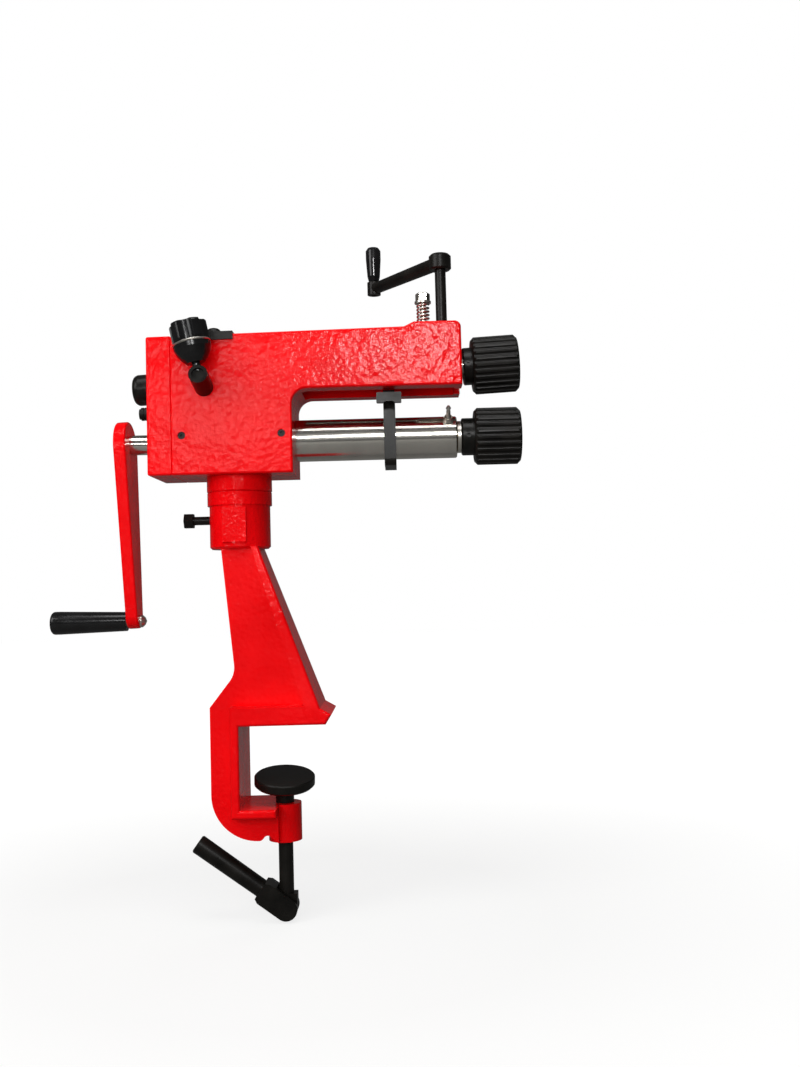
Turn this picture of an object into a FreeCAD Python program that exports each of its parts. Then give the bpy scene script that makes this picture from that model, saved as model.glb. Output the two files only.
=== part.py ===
import FreeCAD, Part
import math
import os
import re
import Sketcher
from FreeCAD import Placement, Rotation, Vector

# Driving sizes in millimetres and degrees. Heights of the head are counted from the lower shaft
# axis, heights of the stand from the bench face, lengths from the swivel axis towards the rolls.
SIZES = {
    # Layout
    "swivel_offset": 36.5,
    "lower_axis_height": 261,
    "shaft_distance": 54,
    "open_tilt": 2.72,
    "tilt_pivot_x": -48,
    "slide_gap": 0.05,
    "seat_gap": 0.3,
    # Stand casting
    "socket_top": 213,
    "rim_height": 12,
    "rim_radius": 30,
    "socket_radius": 28.2,
    "socket_bottom": 162.6,
    "socket_taper": 2,
    "socket_depth": 45,
    "front_pad_left": 12.6,
    "front_pad_right": 9.3,
    "front_pad_depth": 29.6,
    "web_half": 22,
    "flange_half": 38,
    "flange_top_half": 25,
    "flange_width": 9,
    "column_left": 15.2,
    "column_right": 19,
    "waist_left": 4.3,
    "waist_height": 46.1,
    "spine_thickness": 28,
    "shoulder_left": 24,
    "shoulder_height": 21.1,
    "jaw_thickness": 17,
    "jaw_slope_foot": 73.7,
    "nose_reach": 83.8,
    "nose_height": 8.8,
    "nose_foot": 78.3,
    "clamp_opening": 74.5,
    "floor_flange": 8,
    "lobe_depth": 105,
    "lobe_radius": 42,
    "lobe_right": 17,
    "dip_right": 22,
    "dip_depth": 98.8,
    "boss_radius": 15.3,
    "boss_depth": 108.6,
    "cast_radius": 2.5,
    # Lock bolt of the swivel
    "lock_bolt_height": 188.2,
    "lock_bolt_radius": 4,
    "lock_bolt_head_radius": 7.5,
    "lock_bolt_head_start": 43.5,
    "lock_bolt_head_end": 52,
    # Clamp screw, cup and pad
    "ball_depth": 60.5,
    "ball_radius": 7,
    "cup_radius": 8.5,
    "cup_neck_radius": 5,
    "cup_neck_reach": 6,
    "clamp_screw_radius": 6.75,
    "clamp_screw_top": 69,
    "tongue_top": 157,
    "tongue_half": 6.8,
    "eye_radius": 10,
    "handle_pivot_depth": 170,
    "pad_radius": 28,
    "pad_thickness": 9.5,
    "pad_rise": 1.5,
    "pad_pocket_gap": 0.3,
    "pad_hub_radius": 15.3,
    "pad_hub_depth": 3,
    "pad_hub_slope": 3.8,
    "pad_edge": 2,
    "pad_axis_angle": 11.7,
    "pad_rest_tilt": 12.3,
    # Folding handle
    "handle_rest_angle": 36.1,
    "handle_length": 101,
    "handle_root_radius": 8.3,
    "handle_end_radius": 8.9,
    "fork_half_width": 10.4,
    "fork_half_depth": 12,
    "fork_slot_half": 7.1,
    "fork_reach": 29,
    "fork_slot_reach": 18,
    "handle_pin_radius": 4,
    # Head casting
    "seam_x": -55.5,
    "throat_x": 54,
    "arm_end_x": 210,
    "half_depth": 38,
    "head_bottom": -33,
    "seam_top": 94.5,
    "pad_start_x": 158,
    "pad_start_top": 98,
    "pad_ramp": 9,
    "pad_height": 4.3,
    "arm_underside": 43.5,
    "throat_radius": 14,
    "arm_corner_radius": 6,
    "edge_radius": 2,
    "seam_chamfer": 0.8,
    "rear_wall": 19.5,
    "side_wall": 9,
    "floor_thickness": 10,
    "roof_thickness": 8.5,
    "throat_wall": 16,
    "channel_half": 20,
    "channel_start_x": 62,
    "end_wall": 5.8,
    "end_slot_half": 13.5,
    "neck_radius": 30.3,
    "neck_chamfer": 1.2,
    "spigot_radius": 20,
    # Grub screws of the lower bearing
    "grub_hole_radius": 3.5,
    "rear_grub_x": -46.5,
    "front_grub_x": 44.2,
    "grub_height": 3,
    "grub_recess": 2,
    # Rear cover
    "cover_length": 22.5,
    "cover_wall": 4.5,
    "gear_room_radius": 30.5,
    "cover_lower_hole": 9.8,
    "cover_upper_hole": 12,
    "cover_screw_y": 31,
    "cover_screw_low": -26,
    "cover_screw_high": 87,
    "cover_screw_radius": 3,
    "cover_screw_head": 5,
    "cover_screw_head_height": 6,
    "cover_screw_length": 30,
    # Lower shaft, tube and bushes
    "tube_radius": 19.5,
    "tube_bore": 16,
    "tube_end_x": 205,
    "tube_edge": 1,
    "shaft_radius": 10,
    "tail_radius": 9.3,
    "lower_tail_end_x": -111.5,
    "upper_tail_end_x": -90,
    "roll_seat_radius": 9,
    "shaft_end_x": 262,
    "shaft_chamfer": 1,
    "lower_rear_bush_radius": 14,
    "front_bush_length": 24,
    "washer_radius": 15,
    "washer_thickness": 4,
    # Gears and keys
    "gear_start_x": -72,
    "gear_width": 14,
    "gear_module": 2,
    "gear_teeth": 27,
    "gear_addendum": 1.6,
    "gear_dedendum": 3,
    "gear_backlash": 0.85,
    "pressure_angle": 20,
    "gear_hub_radius": 13,
    "key_half_width": 2,
    "key_height": 4,
    "key_length": 12,
    # Rolls
    "lower_hub_start_x": 209.6,
    "upper_hub_start_x": 213,
    "roll_hub_radius": 17.5,
    "roll_start_x": 221.5,
    "roll_end_x": 264.5,
    "roll_radius": 26.8,
    "roll_chamfer": 3,
    "flute_count": 27,
    "flute_radius": 2.6,
    "flute_centre": 27.6,
    "roll_screw_radius": 2.5,
    "roll_screw_recess": 0.6,
    # Upper bushes and sliding block
    "rear_ball_radius": 17,
    "rear_ball_width": 14,
    "block_x": 187,
    "block_length": 34,
    "block_above": 19,
    "block_below": 11,
    "front_ball_radius": 13,
    "front_ball_width": 10,
    "bush_sleeve_radius": 11,
    "bush_sleeve_end_x": 212.6,
    # Dome on the rear end and oil plug
    "dome_radius": 14.5,
    "dome_start_x": -79.2,
    "dome_round": 6,
    "dome_end_x": -97.6,
    "oil_plug_y": -14,
    "oil_plug_z": 27,
    "oil_plug_radius": 6.1,
    "oil_plug_length": 11.2,
    "oil_plug_thread": 4,
    # Feed screw and its small crank
    "feed_x": 194,
    "feed_radius": 5.2,
    "feed_arm_height": 166.7,
    "feed_hub_radius": 10.5,
    "feed_hub_height": 15,
    "feed_arm_angle": 126.6,
    "feed_arm_length": 108.4,
    "feed_arm_root": 6.5,
    "feed_arm_tip": 5.8,
    "feed_grip_radius": 7.6,
    "feed_eye_radius": 6.8,
    "feed_eye_rim": 0.6,
    "feed_grip_gap": 1.2,
    "feed_grip_length": 34.5,
    "feed_grip_recess": 5,
    "feed_pin_radius": 3,
    "feed_pin_head": 5,
    # Lift bolt with its spring
    "spring_bolt_x": 176.7,
    "spring_bolt_radius": 3,
    "spring_bolt_head": 6.9,
    "spring_bolt_head_height": 8,
    "spring_bolt_seat": 129.5,
    "spring_washer_thickness": 1.8,
    "spring_washer_radius": 7.8,
    "spring_wire": 0.9,
    "spring_coil_radius": 5.4,
    "spring_turns": 7,
    # Work stop and its wing screw
    "stop_x": 142.6,
    "stop_thickness": 10.8,
    "stop_bottom": -27.5,
    "stop_top": 42.5,
    "stop_half_depth": 27,
    "stop_corner": 6,
    "stop_slit": 3,
    "wing_height": 31.8,
    "wing_screw_radius": 3,
    "wing_span": 22.6,
    "wing_tall": 9.5,
    "wing_waist": 3.4,
    "wing_near": 39.5,
    "wing_thickness": 5.5,
    # Grease nipple
    "nipple_x": 197,
    "nipple_angle": 48,
    "nipple_thread": 2.9,
    "nipple_hex_radius": 4.6,
    "nipple_hex_height": 4.5,
    "nipple_tip_radius": 37.5,
    # Lock post, star knob, top strap
    "post_x": -25.2,
    "post_height": 46.7,
    "post_radius": 8.5,
    "post_length": 30.6,
    "post_rise": 12,
    "post_spigot_radius": 5,
    "knob_y": -60,
    "knob_base": 51.5,
    "knob_lean": 12,
    "knob_cup_start": 13,
    "knob_cup_end": 30,
    "knob_ring_thickness": 2.4,
    "knob_lobe_height": 18.2,
    "knob_radius": 17,
    "knob_lobes": 5,
    "knob_scallop_radius": 8,
    "knob_scallop_centre": 20,
    "knob_stud_radius": 4,
    "strap_left_x": -27,
    "strap_right_x": 1.8,
    "strap_thickness": 2,
    "strap_leg": 7.5,
    "strap_back_y": -14,
    "strap_screw_x": -17.5,
    "strap_screw_y": -25,
    "strap_screw_radius": 3,
    "strap_screw_head": 6.9,
    "strap_screw_dome": 6,
    # Crank
    "crank_top": 22,
    "crank_bottom": -172,
    "crank_thickness": 11.2,
    "crank_lean": 2.24,
    "crank_centre_x": -106.9,
    "crank_hub_radius": 25,
    "crank_end_radius": 12.3,
    "crank_edge": 1.8,
    "crank_pin_z": -165,
    "crank_pin_radius": 5,
    "crank_pin_end_x": -174,
    "crank_pin_dome": 5.8,
    "crank_pin_dome_height": 5.9,
    "grip_outer_x": -177.5,
    "grip_inner_x": -107.2,
    "grip_outer_radius": 10.7,
    "grip_inner_radius": 8.9,
    "crank_screw_radius": 2.5,
}

# Values that follow from the driving sizes
RULES = {
    "lift": "(block_x - tilt_pivot_x) * tan(open_tilt)",
    "ball_reach": "(block_x - tilt_pivot_x) / cos(open_tilt)",
    "top_slope": "(pad_start_top - seam_top) / (pad_start_x - seam_x)",
    "pad_top": "pad_start_top + pad_height",
    "neck_bottom": "socket_top + seat_gap - lower_axis_height",
    "spigot_bottom": "socket_top - socket_depth + seat_gap - lower_axis_height",
    "socket_bore": "spigot_radius + slide_gap",
    "cover_rear_x": "seam_x - cover_length",
    "cavity_start_x": "seam_x + rear_wall",
    "cavity_end_x": "throat_x - throat_wall",
    "cavity_floor": "head_bottom + floor_thickness",
    "channel_end_x": "arm_end_x - end_wall",
    "shaft_tunnel_floor": "shaft_distance - shaft_radius - 3 * seat_gap",
    "slot_open": "shaft_distance + lift + 0.8",
    "lower_rear_bush_end_x": "cavity_start_x + 1",
    "bush_bore": "shaft_radius + slide_gap",
    "block_rest": "shaft_distance + lift",
    "block_top": "block_rest + block_above",
    "gear_pitch_radius": "gear_module * gear_teeth / 2",
    "gear_gap_half": "(gear_pitch_radius * pi / gear_teeth + gear_backlash) / 2",
    "gear_end_x": "gear_start_x + gear_width",
    "front_ball_flat": "sqrt(front_ball_radius * front_ball_radius - front_ball_width * front_ball_width / 4)",
    "rear_ball_flat": "sqrt(rear_ball_radius * rear_ball_radius - rear_ball_width * rear_ball_width / 4)",
    "spring_washer_bottom": "spring_bolt_seat - spring_washer_thickness",
    "nipple_seat": "tube_radius + seat_gap",
    "crank_pin_x": "crank_centre_x - crank_pin_z * tan(crank_lean)",
    "crank_face_half": "crank_thickness / 2 / cos(crank_lean) + crank_pin_dome * tan(crank_lean)",
    "crank_pin_seat_x": "crank_pin_x + crank_face_half + slide_gap",
    "crank_pin_shoulder_x": "crank_pin_x - crank_face_half - slide_gap",
    "roof_height": "seam_top - roof_thickness",
    "tail_start_x": "cover_rear_x + cover_wall + 2 * seat_gap",
    "feed_grip_bottom": "feed_arm_height + feed_arm_tip + feed_eye_rim + feed_grip_gap",
    "feed_grip_top": "feed_grip_bottom + feed_grip_length",
    "collar_top": "-ball_depth - cup_neck_reach",
    "boss_web_x": "swivel_offset - floor_flange / 2",
}

doc = FreeCAD.newDocument("bead_roller")
sheet = doc.addObject("Spreadsheet::Sheet", "Sizes")
for row, (alias, number) in enumerate(SIZES.items(), 1):
    sheet.set("A%d" % row, alias.replace("_", " "))
    sheet.set("B%d" % row, str(number))
    sheet.setAlias("B%d" % row, alias)
doc.recompute()

AXES = {"X": Vector(1, 0, 0), "Y": Vector(0, 1, 0), "Z": Vector(0, 0, 1)}
ALONG = {"X": Rotation(Vector(0, 1, 0), 90), "Y": Rotation(Vector(1, 0, 0), -90), "Z": Rotation()}
PIECES = []


def bound(text):
    """The expression with worked-out values written out and sizes pointing at their cells."""
    def swap(match):
        word = match.group(0)
        if word in RULES:
            return "(" + bound(RULES[word]) + ")"
        return "Sizes." + word if word in SIZES else word
    return re.sub(r"[a-z][a-z_0-9]*", swap, str(text))


def value(text):
    """The number that an expression has with the present sizes."""
    result = sheet.evalExpression(bound(text))
    return float(getattr(result, "Value", result))


def bind(item, prop, text):
    """Tie a property to the sheet."""
    item.setExpression(prop, bound(text))


def place(item, x="0", y="0", z="0", turn=None, angle="0"):
    """Bound placement, turned about one axis by a bound angle."""
    axis = AXES[turn or "Z"] if not isinstance(turn, Vector) else turn
    item.Placement = Placement(Vector(value(x), value(y), value(z)), Rotation(axis, 1))
    bind(item, "Placement.Base.x", x)
    bind(item, "Placement.Base.y", y)
    bind(item, "Placement.Base.z", z)
    bind(item, "Placement.Rotation.Angle", angle)
    return item


def keep(item, name):
    """Mark an object as a finished piece."""
    item.Label = name
    PIECES.append(item)
    return item


def on_stand(item, x="0", y="0", z="0", turn=None, angle="0"):
    """Place from the swivel axis at bench height."""
    return place(item, "%s - swivel_offset" % x, y, z, turn, angle)


def on_head(item, x="0", y="0", z="0", turn=None, angle="0"):
    """Place from the swivel axis at the height of the lower shaft."""
    return place(item, "%s - swivel_offset" % x, y, "lower_axis_height + %s" % z, turn, angle)


def on_upper_shaft(item):
    """Place on the tilted upper shaft, with the tilt pivot as origin and X along the shaft."""
    return on_head(item, "tilt_pivot_x", "0", "shaft_distance", "Y", "-open_tilt")


def new_body(name):
    """Empty body of one piece."""
    return doc.addObject("PartDesign::Body", name)


def sketch(body, name, plane, offset="0"):
    """Sketch on one of the body's own planes, moved along the plane's normal."""
    item = body.newObject("Sketcher::SketchObject", name)
    role = plane + "_Plane"
    item.AttachmentSupport = [(feature, "") for feature in body.Origin.OriginFeatures if feature.Role == role]
    item.MapMode = "FlatFace"
    bind(item, "AttachmentOffset.Base.z", offset)
    return item


def arc_centre(start, end, radius):
    """Centre to the left of the way from start to end, for an arc of the given radius."""
    chord = end - start
    rise = math.sqrt(max(radius * radius - chord.Length ** 2 / 4, 0))
    return (start + end) * 0.5 + Vector(-chord.y, chord.x, 0).normalize() * rise


def outline(item, points):
    """Closed line through the points. A third value makes the way to the next point an arc that
    runs anticlockwise with that radius."""
    spots = [Vector(value(point[0]), value(point[1]), 0) for point in points]
    count = len(points)
    for index, point in enumerate(points):
        start, end = spots[index], spots[(index + 1) % count]
        if len(point) == 3:
            radius = value(point[2])
            centre = arc_centre(start, end, radius)
            first = math.atan2(start.y - centre.y, start.x - centre.x)
            last = math.atan2(end.y - centre.y, end.x - centre.x)
            last += 2 * math.pi if last < first else 0
            round_edge = Part.Circle(centre, AXES["Z"], radius)
            item.addGeometry(Part.ArcOfCircle(round_edge, first, last), False)
        else:
            item.addGeometry(Part.LineSegment(start, end), False)
    for index, point in enumerate(points):
        item.addConstraint(Sketcher.Constraint("Coincident", index, 2, (index + 1) % count, 1))
        for kind, text in (("DistanceX", point[0]), ("DistanceY", point[1])):
            held = item.addConstraint(Sketcher.Constraint(kind, -1, 1, index, 1, value(text)))
            bind(item, "Constraints[%d]" % held, text)
        if len(point) == 3:
            held = item.addConstraint(Sketcher.Constraint("Radius", index, value(point[2])))
            bind(item, "Constraints[%d]" % held, point[2])
    return item


def circle(item, x, y, radius):
    """Circle with a bound centre and radius."""
    centre = Vector(value(x), value(y), 0)
    index = item.addGeometry(Part.Circle(centre, AXES["Z"], value(radius)), False)
    for kind, text in (("DistanceX", x), ("DistanceY", y)):
        held = item.addConstraint(Sketcher.Constraint(kind, -1, 1, index, 3, value(text)))
        bind(item, "Constraints[%d]" % held, text)
    held = item.addConstraint(Sketcher.Constraint("Radius", index, value(radius)))
    bind(item, "Constraints[%d]" % held, radius)
    return item


def rectangle(item, left, low, right, high):
    """Upright rectangle between two bound corners."""
    return outline(item, [(left, low), (right, low), (right, high), (left, high)])


def pad(body, profile, length, midplane=False):
    """Extrusion of a sketch along its plane's normal."""
    item = body.newObject("PartDesign::Pad", profile.Name + "_pad")
    item.Profile = profile
    bind(item, "Length", length)
    item.Midplane = midplane
    return item


def pocket(body, profile, length, midplane=False):
    """Cut of a sketch against its plane's normal, which has to take something away."""
    doc.recompute()
    before = body.Shape.Volume
    item = body.newObject("PartDesign::Pocket", profile.Name + "_pocket")
    item.Profile = profile
    bind(item, "Length", length)
    item.Midplane = midplane
    doc.recompute()
    if body.Shape.Volume >= before:
        raise ValueError("nothing cut by " + item.Name)
    return item


def revolve(body, profile, axis):
    """Full turn of a sketch about its own H or V axis."""
    item = body.newObject("PartDesign::Revolution", profile.Name + "_turned")
    item.Profile = profile
    item.ReferenceAxis = (profile, [axis + "_Axis"])
    item.Angle = 360
    return item


def polar(body, feature, axis, count):
    """Copies of a cut round one of the body's own axes."""
    item = body.newObject("PartDesign::PolarPattern", feature.Name + "_round")
    item.Originals = [feature]
    role = axis + "_Axis"
    item.Axis = ([line for line in body.Origin.OriginFeatures if line.Role == role][0], [""])
    item.Angle = 360
    bind(item, "Occurrences", count)
    body.Tip = item
    return item


def middle(edge):
    """Point half way along an edge."""
    return edge.valueAt((edge.FirstParameter + edge.LastParameter) / 2)


def soften(body, name, radius, chosen, kind="Fillet"):
    """Fillet or chamfer of the edges whose middle point passes the test."""
    doc.recompute()
    base = body.Tip
    names = ["Edge%d" % (index + 1) for index, edge in enumerate(base.Shape.Edges) if chosen(middle(edge))]
    item = body.newObject("PartDesign::" + kind, name)
    item.Base = (base, names)
    bind(item, "Radius" if kind == "Fillet" else "Size", radius)
    doc.recompute()
    return item


def near(number, text, reach=0.01):
    """Whether a coordinate lies at a bound value."""
    return abs(number - value(text)) < reach


def rod(name, radius, length, x="0", y="0", z="0", along="Z"):
    """Round bar that runs along one axis from its place."""
    item = doc.addObject("Part::Cylinder", name)
    bind(item, "Radius", radius)
    bind(item, "Height", length)
    item.Placement = Placement(Vector(value(x), value(y), value(z)), ALONG[along])
    bind(item, "Placement.Base.x", x)
    bind(item, "Placement.Base.y", y)
    bind(item, "Placement.Base.z", z)
    return item


def joined(name, items):
    """Several solids as one object."""
    item = doc.addObject("Part::MultiFuse", name)
    item.Shapes = items
    return item


def cut(name, base, tool):
    """One object less another."""
    item = doc.addObject("Part::Cut", name)
    item.Base = base
    item.Tool = tool
    return item


def stand_casting():
    """C-clamp frame: a T-section column with a round socket on top, a jaw and a screw boss."""
    body = new_body("stand_body")
    web = outline(sketch(body, "web", "XZ"), [
        ("-column_left", "socket_bottom"), ("-waist_left", "waist_height"),
        ("-shoulder_left", "shoulder_height"), ("-spine_thickness", "shoulder_height - 5"),
        ("-spine_thickness", "-lobe_depth"), ("lobe_right", "-lobe_depth"), ("dip_right", "-dip_depth"),
        ("boss_web_x", "-boss_depth + 1"), ("boss_web_x", "-clamp_opening - floor_flange / 2"),
        ("-floor_flange / 2", "-clamp_opening - floor_flange / 2"),
        ("-floor_flange / 2", "jaw_thickness / 2"), ("jaw_slope_foot - flange_width", "jaw_thickness / 2"),
        ("column_right - flange_width / 2", "socket_bottom")])
    pad(body, web, "2 * web_half", True)
    soften(body, "lobe_round", "lobe_radius",
           lambda p: near(p.x, "-spine_thickness") and near(p.z, "-lobe_depth"))
    soften(body, "lobe_end_round", "2 * cast_radius",
           lambda p: near(p.x, "lobe_right") and near(p.z, "-lobe_depth"))
    soften(body, "dip_round", "1.5 * cast_radius",
           lambda p: near(p.x, "dip_right") and near(p.z, "-dip_depth"))
    soften(body, "waist_round", "lobe_radius / 2",
           lambda p: near(p.x, "-waist_left") and near(p.z, "waist_height"))
    flange = outline(sketch(body, "flange", "XZ"), [
        ("column_right", "socket_bottom"), ("column_right - flange_width * 0.75", "socket_bottom"),
        ("jaw_slope_foot - flange_width * 1.6", "jaw_thickness"), ("-floor_flange", "jaw_thickness"),
        ("-floor_flange", "-clamp_opening - floor_flange"),
        ("boss_web_x", "-clamp_opening - floor_flange"),
        ("boss_web_x", "-clamp_opening"), ("0", "-clamp_opening"), ("0", "0"), ("nose_foot", "0"),
        ("nose_reach", "nose_height"), ("jaw_slope_foot", "jaw_thickness - 2.4")])
    pad(body, flange, "2 * flange_half", True)
    for side in ("", "-"):
        taper = outline(sketch(body, "taper_" + ("back" if side else "front"), "YZ", "nose_reach + 1"), [
            (side + "flange_half", "jaw_thickness"), (side + "(flange_half + 4)", "jaw_thickness"),
            (side + "(flange_half + 4)", "socket_bottom + 1"), (side + "flange_top_half", "socket_bottom + 1")])
        pocket(body, taper, "2 * nose_reach")
    soften(body, "flange_edges", "cast_radius", lambda p: abs(abs(p.y) - value("flange_half")) < 0.01
           and p.z < value("jaw_thickness") - 0.5)
    socket = outline(sketch(body, "socket", "XZ"), [
        ("0", "socket_bottom - socket_taper"), ("socket_radius - socket_taper", "socket_bottom - socket_taper"),
        ("socket_radius", "socket_bottom"), ("socket_radius", "socket_top - rim_height"),
        ("rim_radius", "socket_top - rim_height"), ("rim_radius", "socket_top"), ("0", "socket_top")])
    revolve(body, socket, "V")
    front_pad = rectangle(sketch(body, "front_pad", "XZ", "front_pad_depth"),
                          "-front_pad_left", "socket_bottom + 4", "front_pad_right", "socket_top - rim_height - 3")
    pad(body, front_pad, "front_pad_depth / 3").Reversed = True
    boss = circle(sketch(body, "boss", "XY", "-boss_depth"), "swivel_offset", "0", "boss_radius")
    pad(body, boss, "boss_depth - clamp_opening")
    pocket(body, circle(sketch(body, "socket_bore", "XY", "socket_top"), "0", "0", "socket_bore"),
           "socket_depth")
    pocket(body, circle(sketch(body, "screw_bore", "XY", "-clamp_opening + 1"), "swivel_offset", "0",
                        "clamp_screw_radius + slide_gap"), "boss_depth - clamp_opening + 2")
    pocket(body, circle(sketch(body, "lock_bore", "YZ"), "0", "lock_bolt_height",
                        "lock_bolt_radius + slide_gap"), "rim_radius + 2")
    return on_stand(keep(body, "stand_casting"))


def hexagon(item, radius, x="0", y="0"):
    """Regular hexagon by its corner radius."""
    corners = [("%s + %s * cos(%d)" % (x, radius, angle), "%s + %s * sin(%d)" % (y, radius, angle))
               for angle in range(0, 360, 60)]
    return outline(item, corners)


def swivel_lock_bolt():
    """Hex bolt that locks the head in the socket."""
    body = new_body("lock_bolt_body")
    shank = circle(sketch(body, "bolt_shank", "YZ", "-lock_bolt_head_start"), "0", "lock_bolt_height",
                   "lock_bolt_radius")
    pad(body, shank, "lock_bolt_head_start - spigot_radius - 0.2")
    head = hexagon(sketch(body, "bolt_head", "YZ", "-lock_bolt_head_end"), "lock_bolt_head_radius", "0",
                   "lock_bolt_height")
    pad(body, head, "lock_bolt_head_end - lock_bolt_head_start")
    return on_stand(keep(body, "swivel_lock_bolt"))


def clamp_pad_cup():
    """Collar on the end of the clamp screw, with the ball that the pad tilts on."""
    body = new_body("cup_body")
    half = outline(sketch(body, "cup_half", "XZ"), [
        ("0", "-clamp_opening + seat_gap"), ("cup_radius", "-clamp_opening + seat_gap"),
        ("cup_radius", "collar_top"), ("cup_neck_radius", "collar_top"),
        ("cup_neck_radius", "-ball_depth - sqrt(ball_radius * ball_radius - cup_neck_radius * cup_neck_radius)",
         "ball_radius"), ("0", "ball_radius - ball_depth")])
    revolve(body, half, "V")
    pocket(body, circle(sketch(body, "cup_bore", "XY", "-clamp_screw_top + slide_gap"), "0", "0",
                        "clamp_screw_radius + slide_gap"), "clamp_opening - clamp_screw_top")
    return place(keep(body, "clamp_pad_cup"))


def clamp_pad():
    """Round pressure pad with a hub that tilts on the ball."""
    body = new_body("pad_body")
    half = outline(sketch(body, "pad_half", "XZ"), [
        ("0", "-pad_hub_depth"), ("pad_hub_radius - pad_hub_slope", "-pad_hub_depth"), ("pad_hub_radius", "0"),
        ("pad_hub_radius", "pad_rise"), ("pad_radius - pad_edge", "pad_rise"), ("pad_radius", "pad_rise + pad_edge"),
        ("pad_radius", "pad_rise + pad_thickness - pad_edge / 2"),
        ("pad_radius - pad_edge / 2", "pad_rise + pad_thickness"), ("0", "pad_rise + pad_thickness")])
    revolve(body, half, "V")
    ball = doc.addObject("Part::Sphere", "pad_pocket")
    bind(ball, "Radius", "ball_radius + pad_pocket_gap")
    lean = Rotation(AXES["Z"], value("pad_axis_angle")).multVec(AXES["X"])
    return place(keep(cut("pad_less_ball", body, ball), "clamp_pad"), z="-ball_depth", turn=lean,
                 angle="pad_rest_tilt")


def clamp_screw():
    """Clamp screw with a flat tongue and an eye for the folding handle."""
    body = new_body("clamp_screw_body")
    half = outline(sketch(body, "screw_half", "XZ"), [
        ("0", "-tongue_top"), ("clamp_screw_radius", "-tongue_top"),
        ("clamp_screw_radius", "-clamp_screw_top - 1"), ("clamp_screw_radius - 1", "-clamp_screw_top"),
        ("0", "-clamp_screw_top")])
    revolve(body, half, "V")
    tongue = outline(sketch(body, "tongue", "XZ"), [
        ("-eye_radius", "-tongue_top"), ("-eye_radius", "-handle_pivot_depth"),
        ("eye_radius", "-handle_pivot_depth"), ("eye_radius", "-tongue_top")])
    pad(body, tongue, "2 * tongue_half", True)
    pad(body, circle(sketch(body, "eye", "XZ"), "0", "-handle_pivot_depth", "eye_radius"),
        "2 * tongue_half", True)
    pocket(body, circle(sketch(body, "eye_bore", "XZ"), "0", "-handle_pivot_depth",
                        "handle_pin_radius + slide_gap"), "4 * tongue_half", True)
    return place(keep(body, "clamp_screw"))


def clamp_handle():
    """Folding handle: a round bar behind a forked head, X along the bar from the pivot."""
    body = new_body("handle_body")
    fork = outline(sketch(body, "fork", "XZ"), [
        ("0", "-fork_half_width"), ("fork_reach - 4", "-fork_half_width"), ("fork_reach", "-handle_root_radius"),
        ("fork_reach", "handle_root_radius"), ("fork_reach - 4", "fork_half_width"), ("0", "fork_half_width")])
    pad(body, fork, "2 * fork_half_depth", True)
    pad(body, circle(sketch(body, "fork_end", "XZ"), "0", "0", "fork_half_width"), "2 * fork_half_depth", True)
    bar = outline(sketch(body, "bar_half", "XZ"), [
        ("fork_slot_reach + 3", "0"), ("handle_length", "0"), ("handle_length", "handle_end_radius - 1.2"),
        ("handle_length - 1.2", "handle_end_radius"), ("fork_slot_reach + 3", "handle_root_radius")])
    revolve(body, bar, "H")
    pocket(body, rectangle(sketch(body, "fork_slot", "XZ"), "-fork_half_width - 1", "-fork_half_width - 1",
                           "fork_slot_reach", "fork_half_width + 1"), "2 * fork_slot_half", True)
    pocket(body, circle(sketch(body, "fork_bore", "XZ"), "0", "0", "handle_pin_radius + slide_gap"),
           "4 * fork_half_depth", True)
    return place(keep(body, "clamp_handle"), z="-handle_pivot_depth", turn="Y",
                 angle="handle_rest_angle - 180")


def clamp_handle_pin():
    """Cross pin of the folding handle."""
    pin = rod("handle_pin_bar", "handle_pin_radius", "2 * fork_half_depth - 0.4",
              "0", "0.2 - fork_half_depth", "-handle_pivot_depth", "Y")
    return keep(pin, "clamp_handle_pin")


def arm_top(x):
    """Height of the sloping top of the head at a length."""
    return "seam_top + (%s - seam_x) * top_slope" % x


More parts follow.
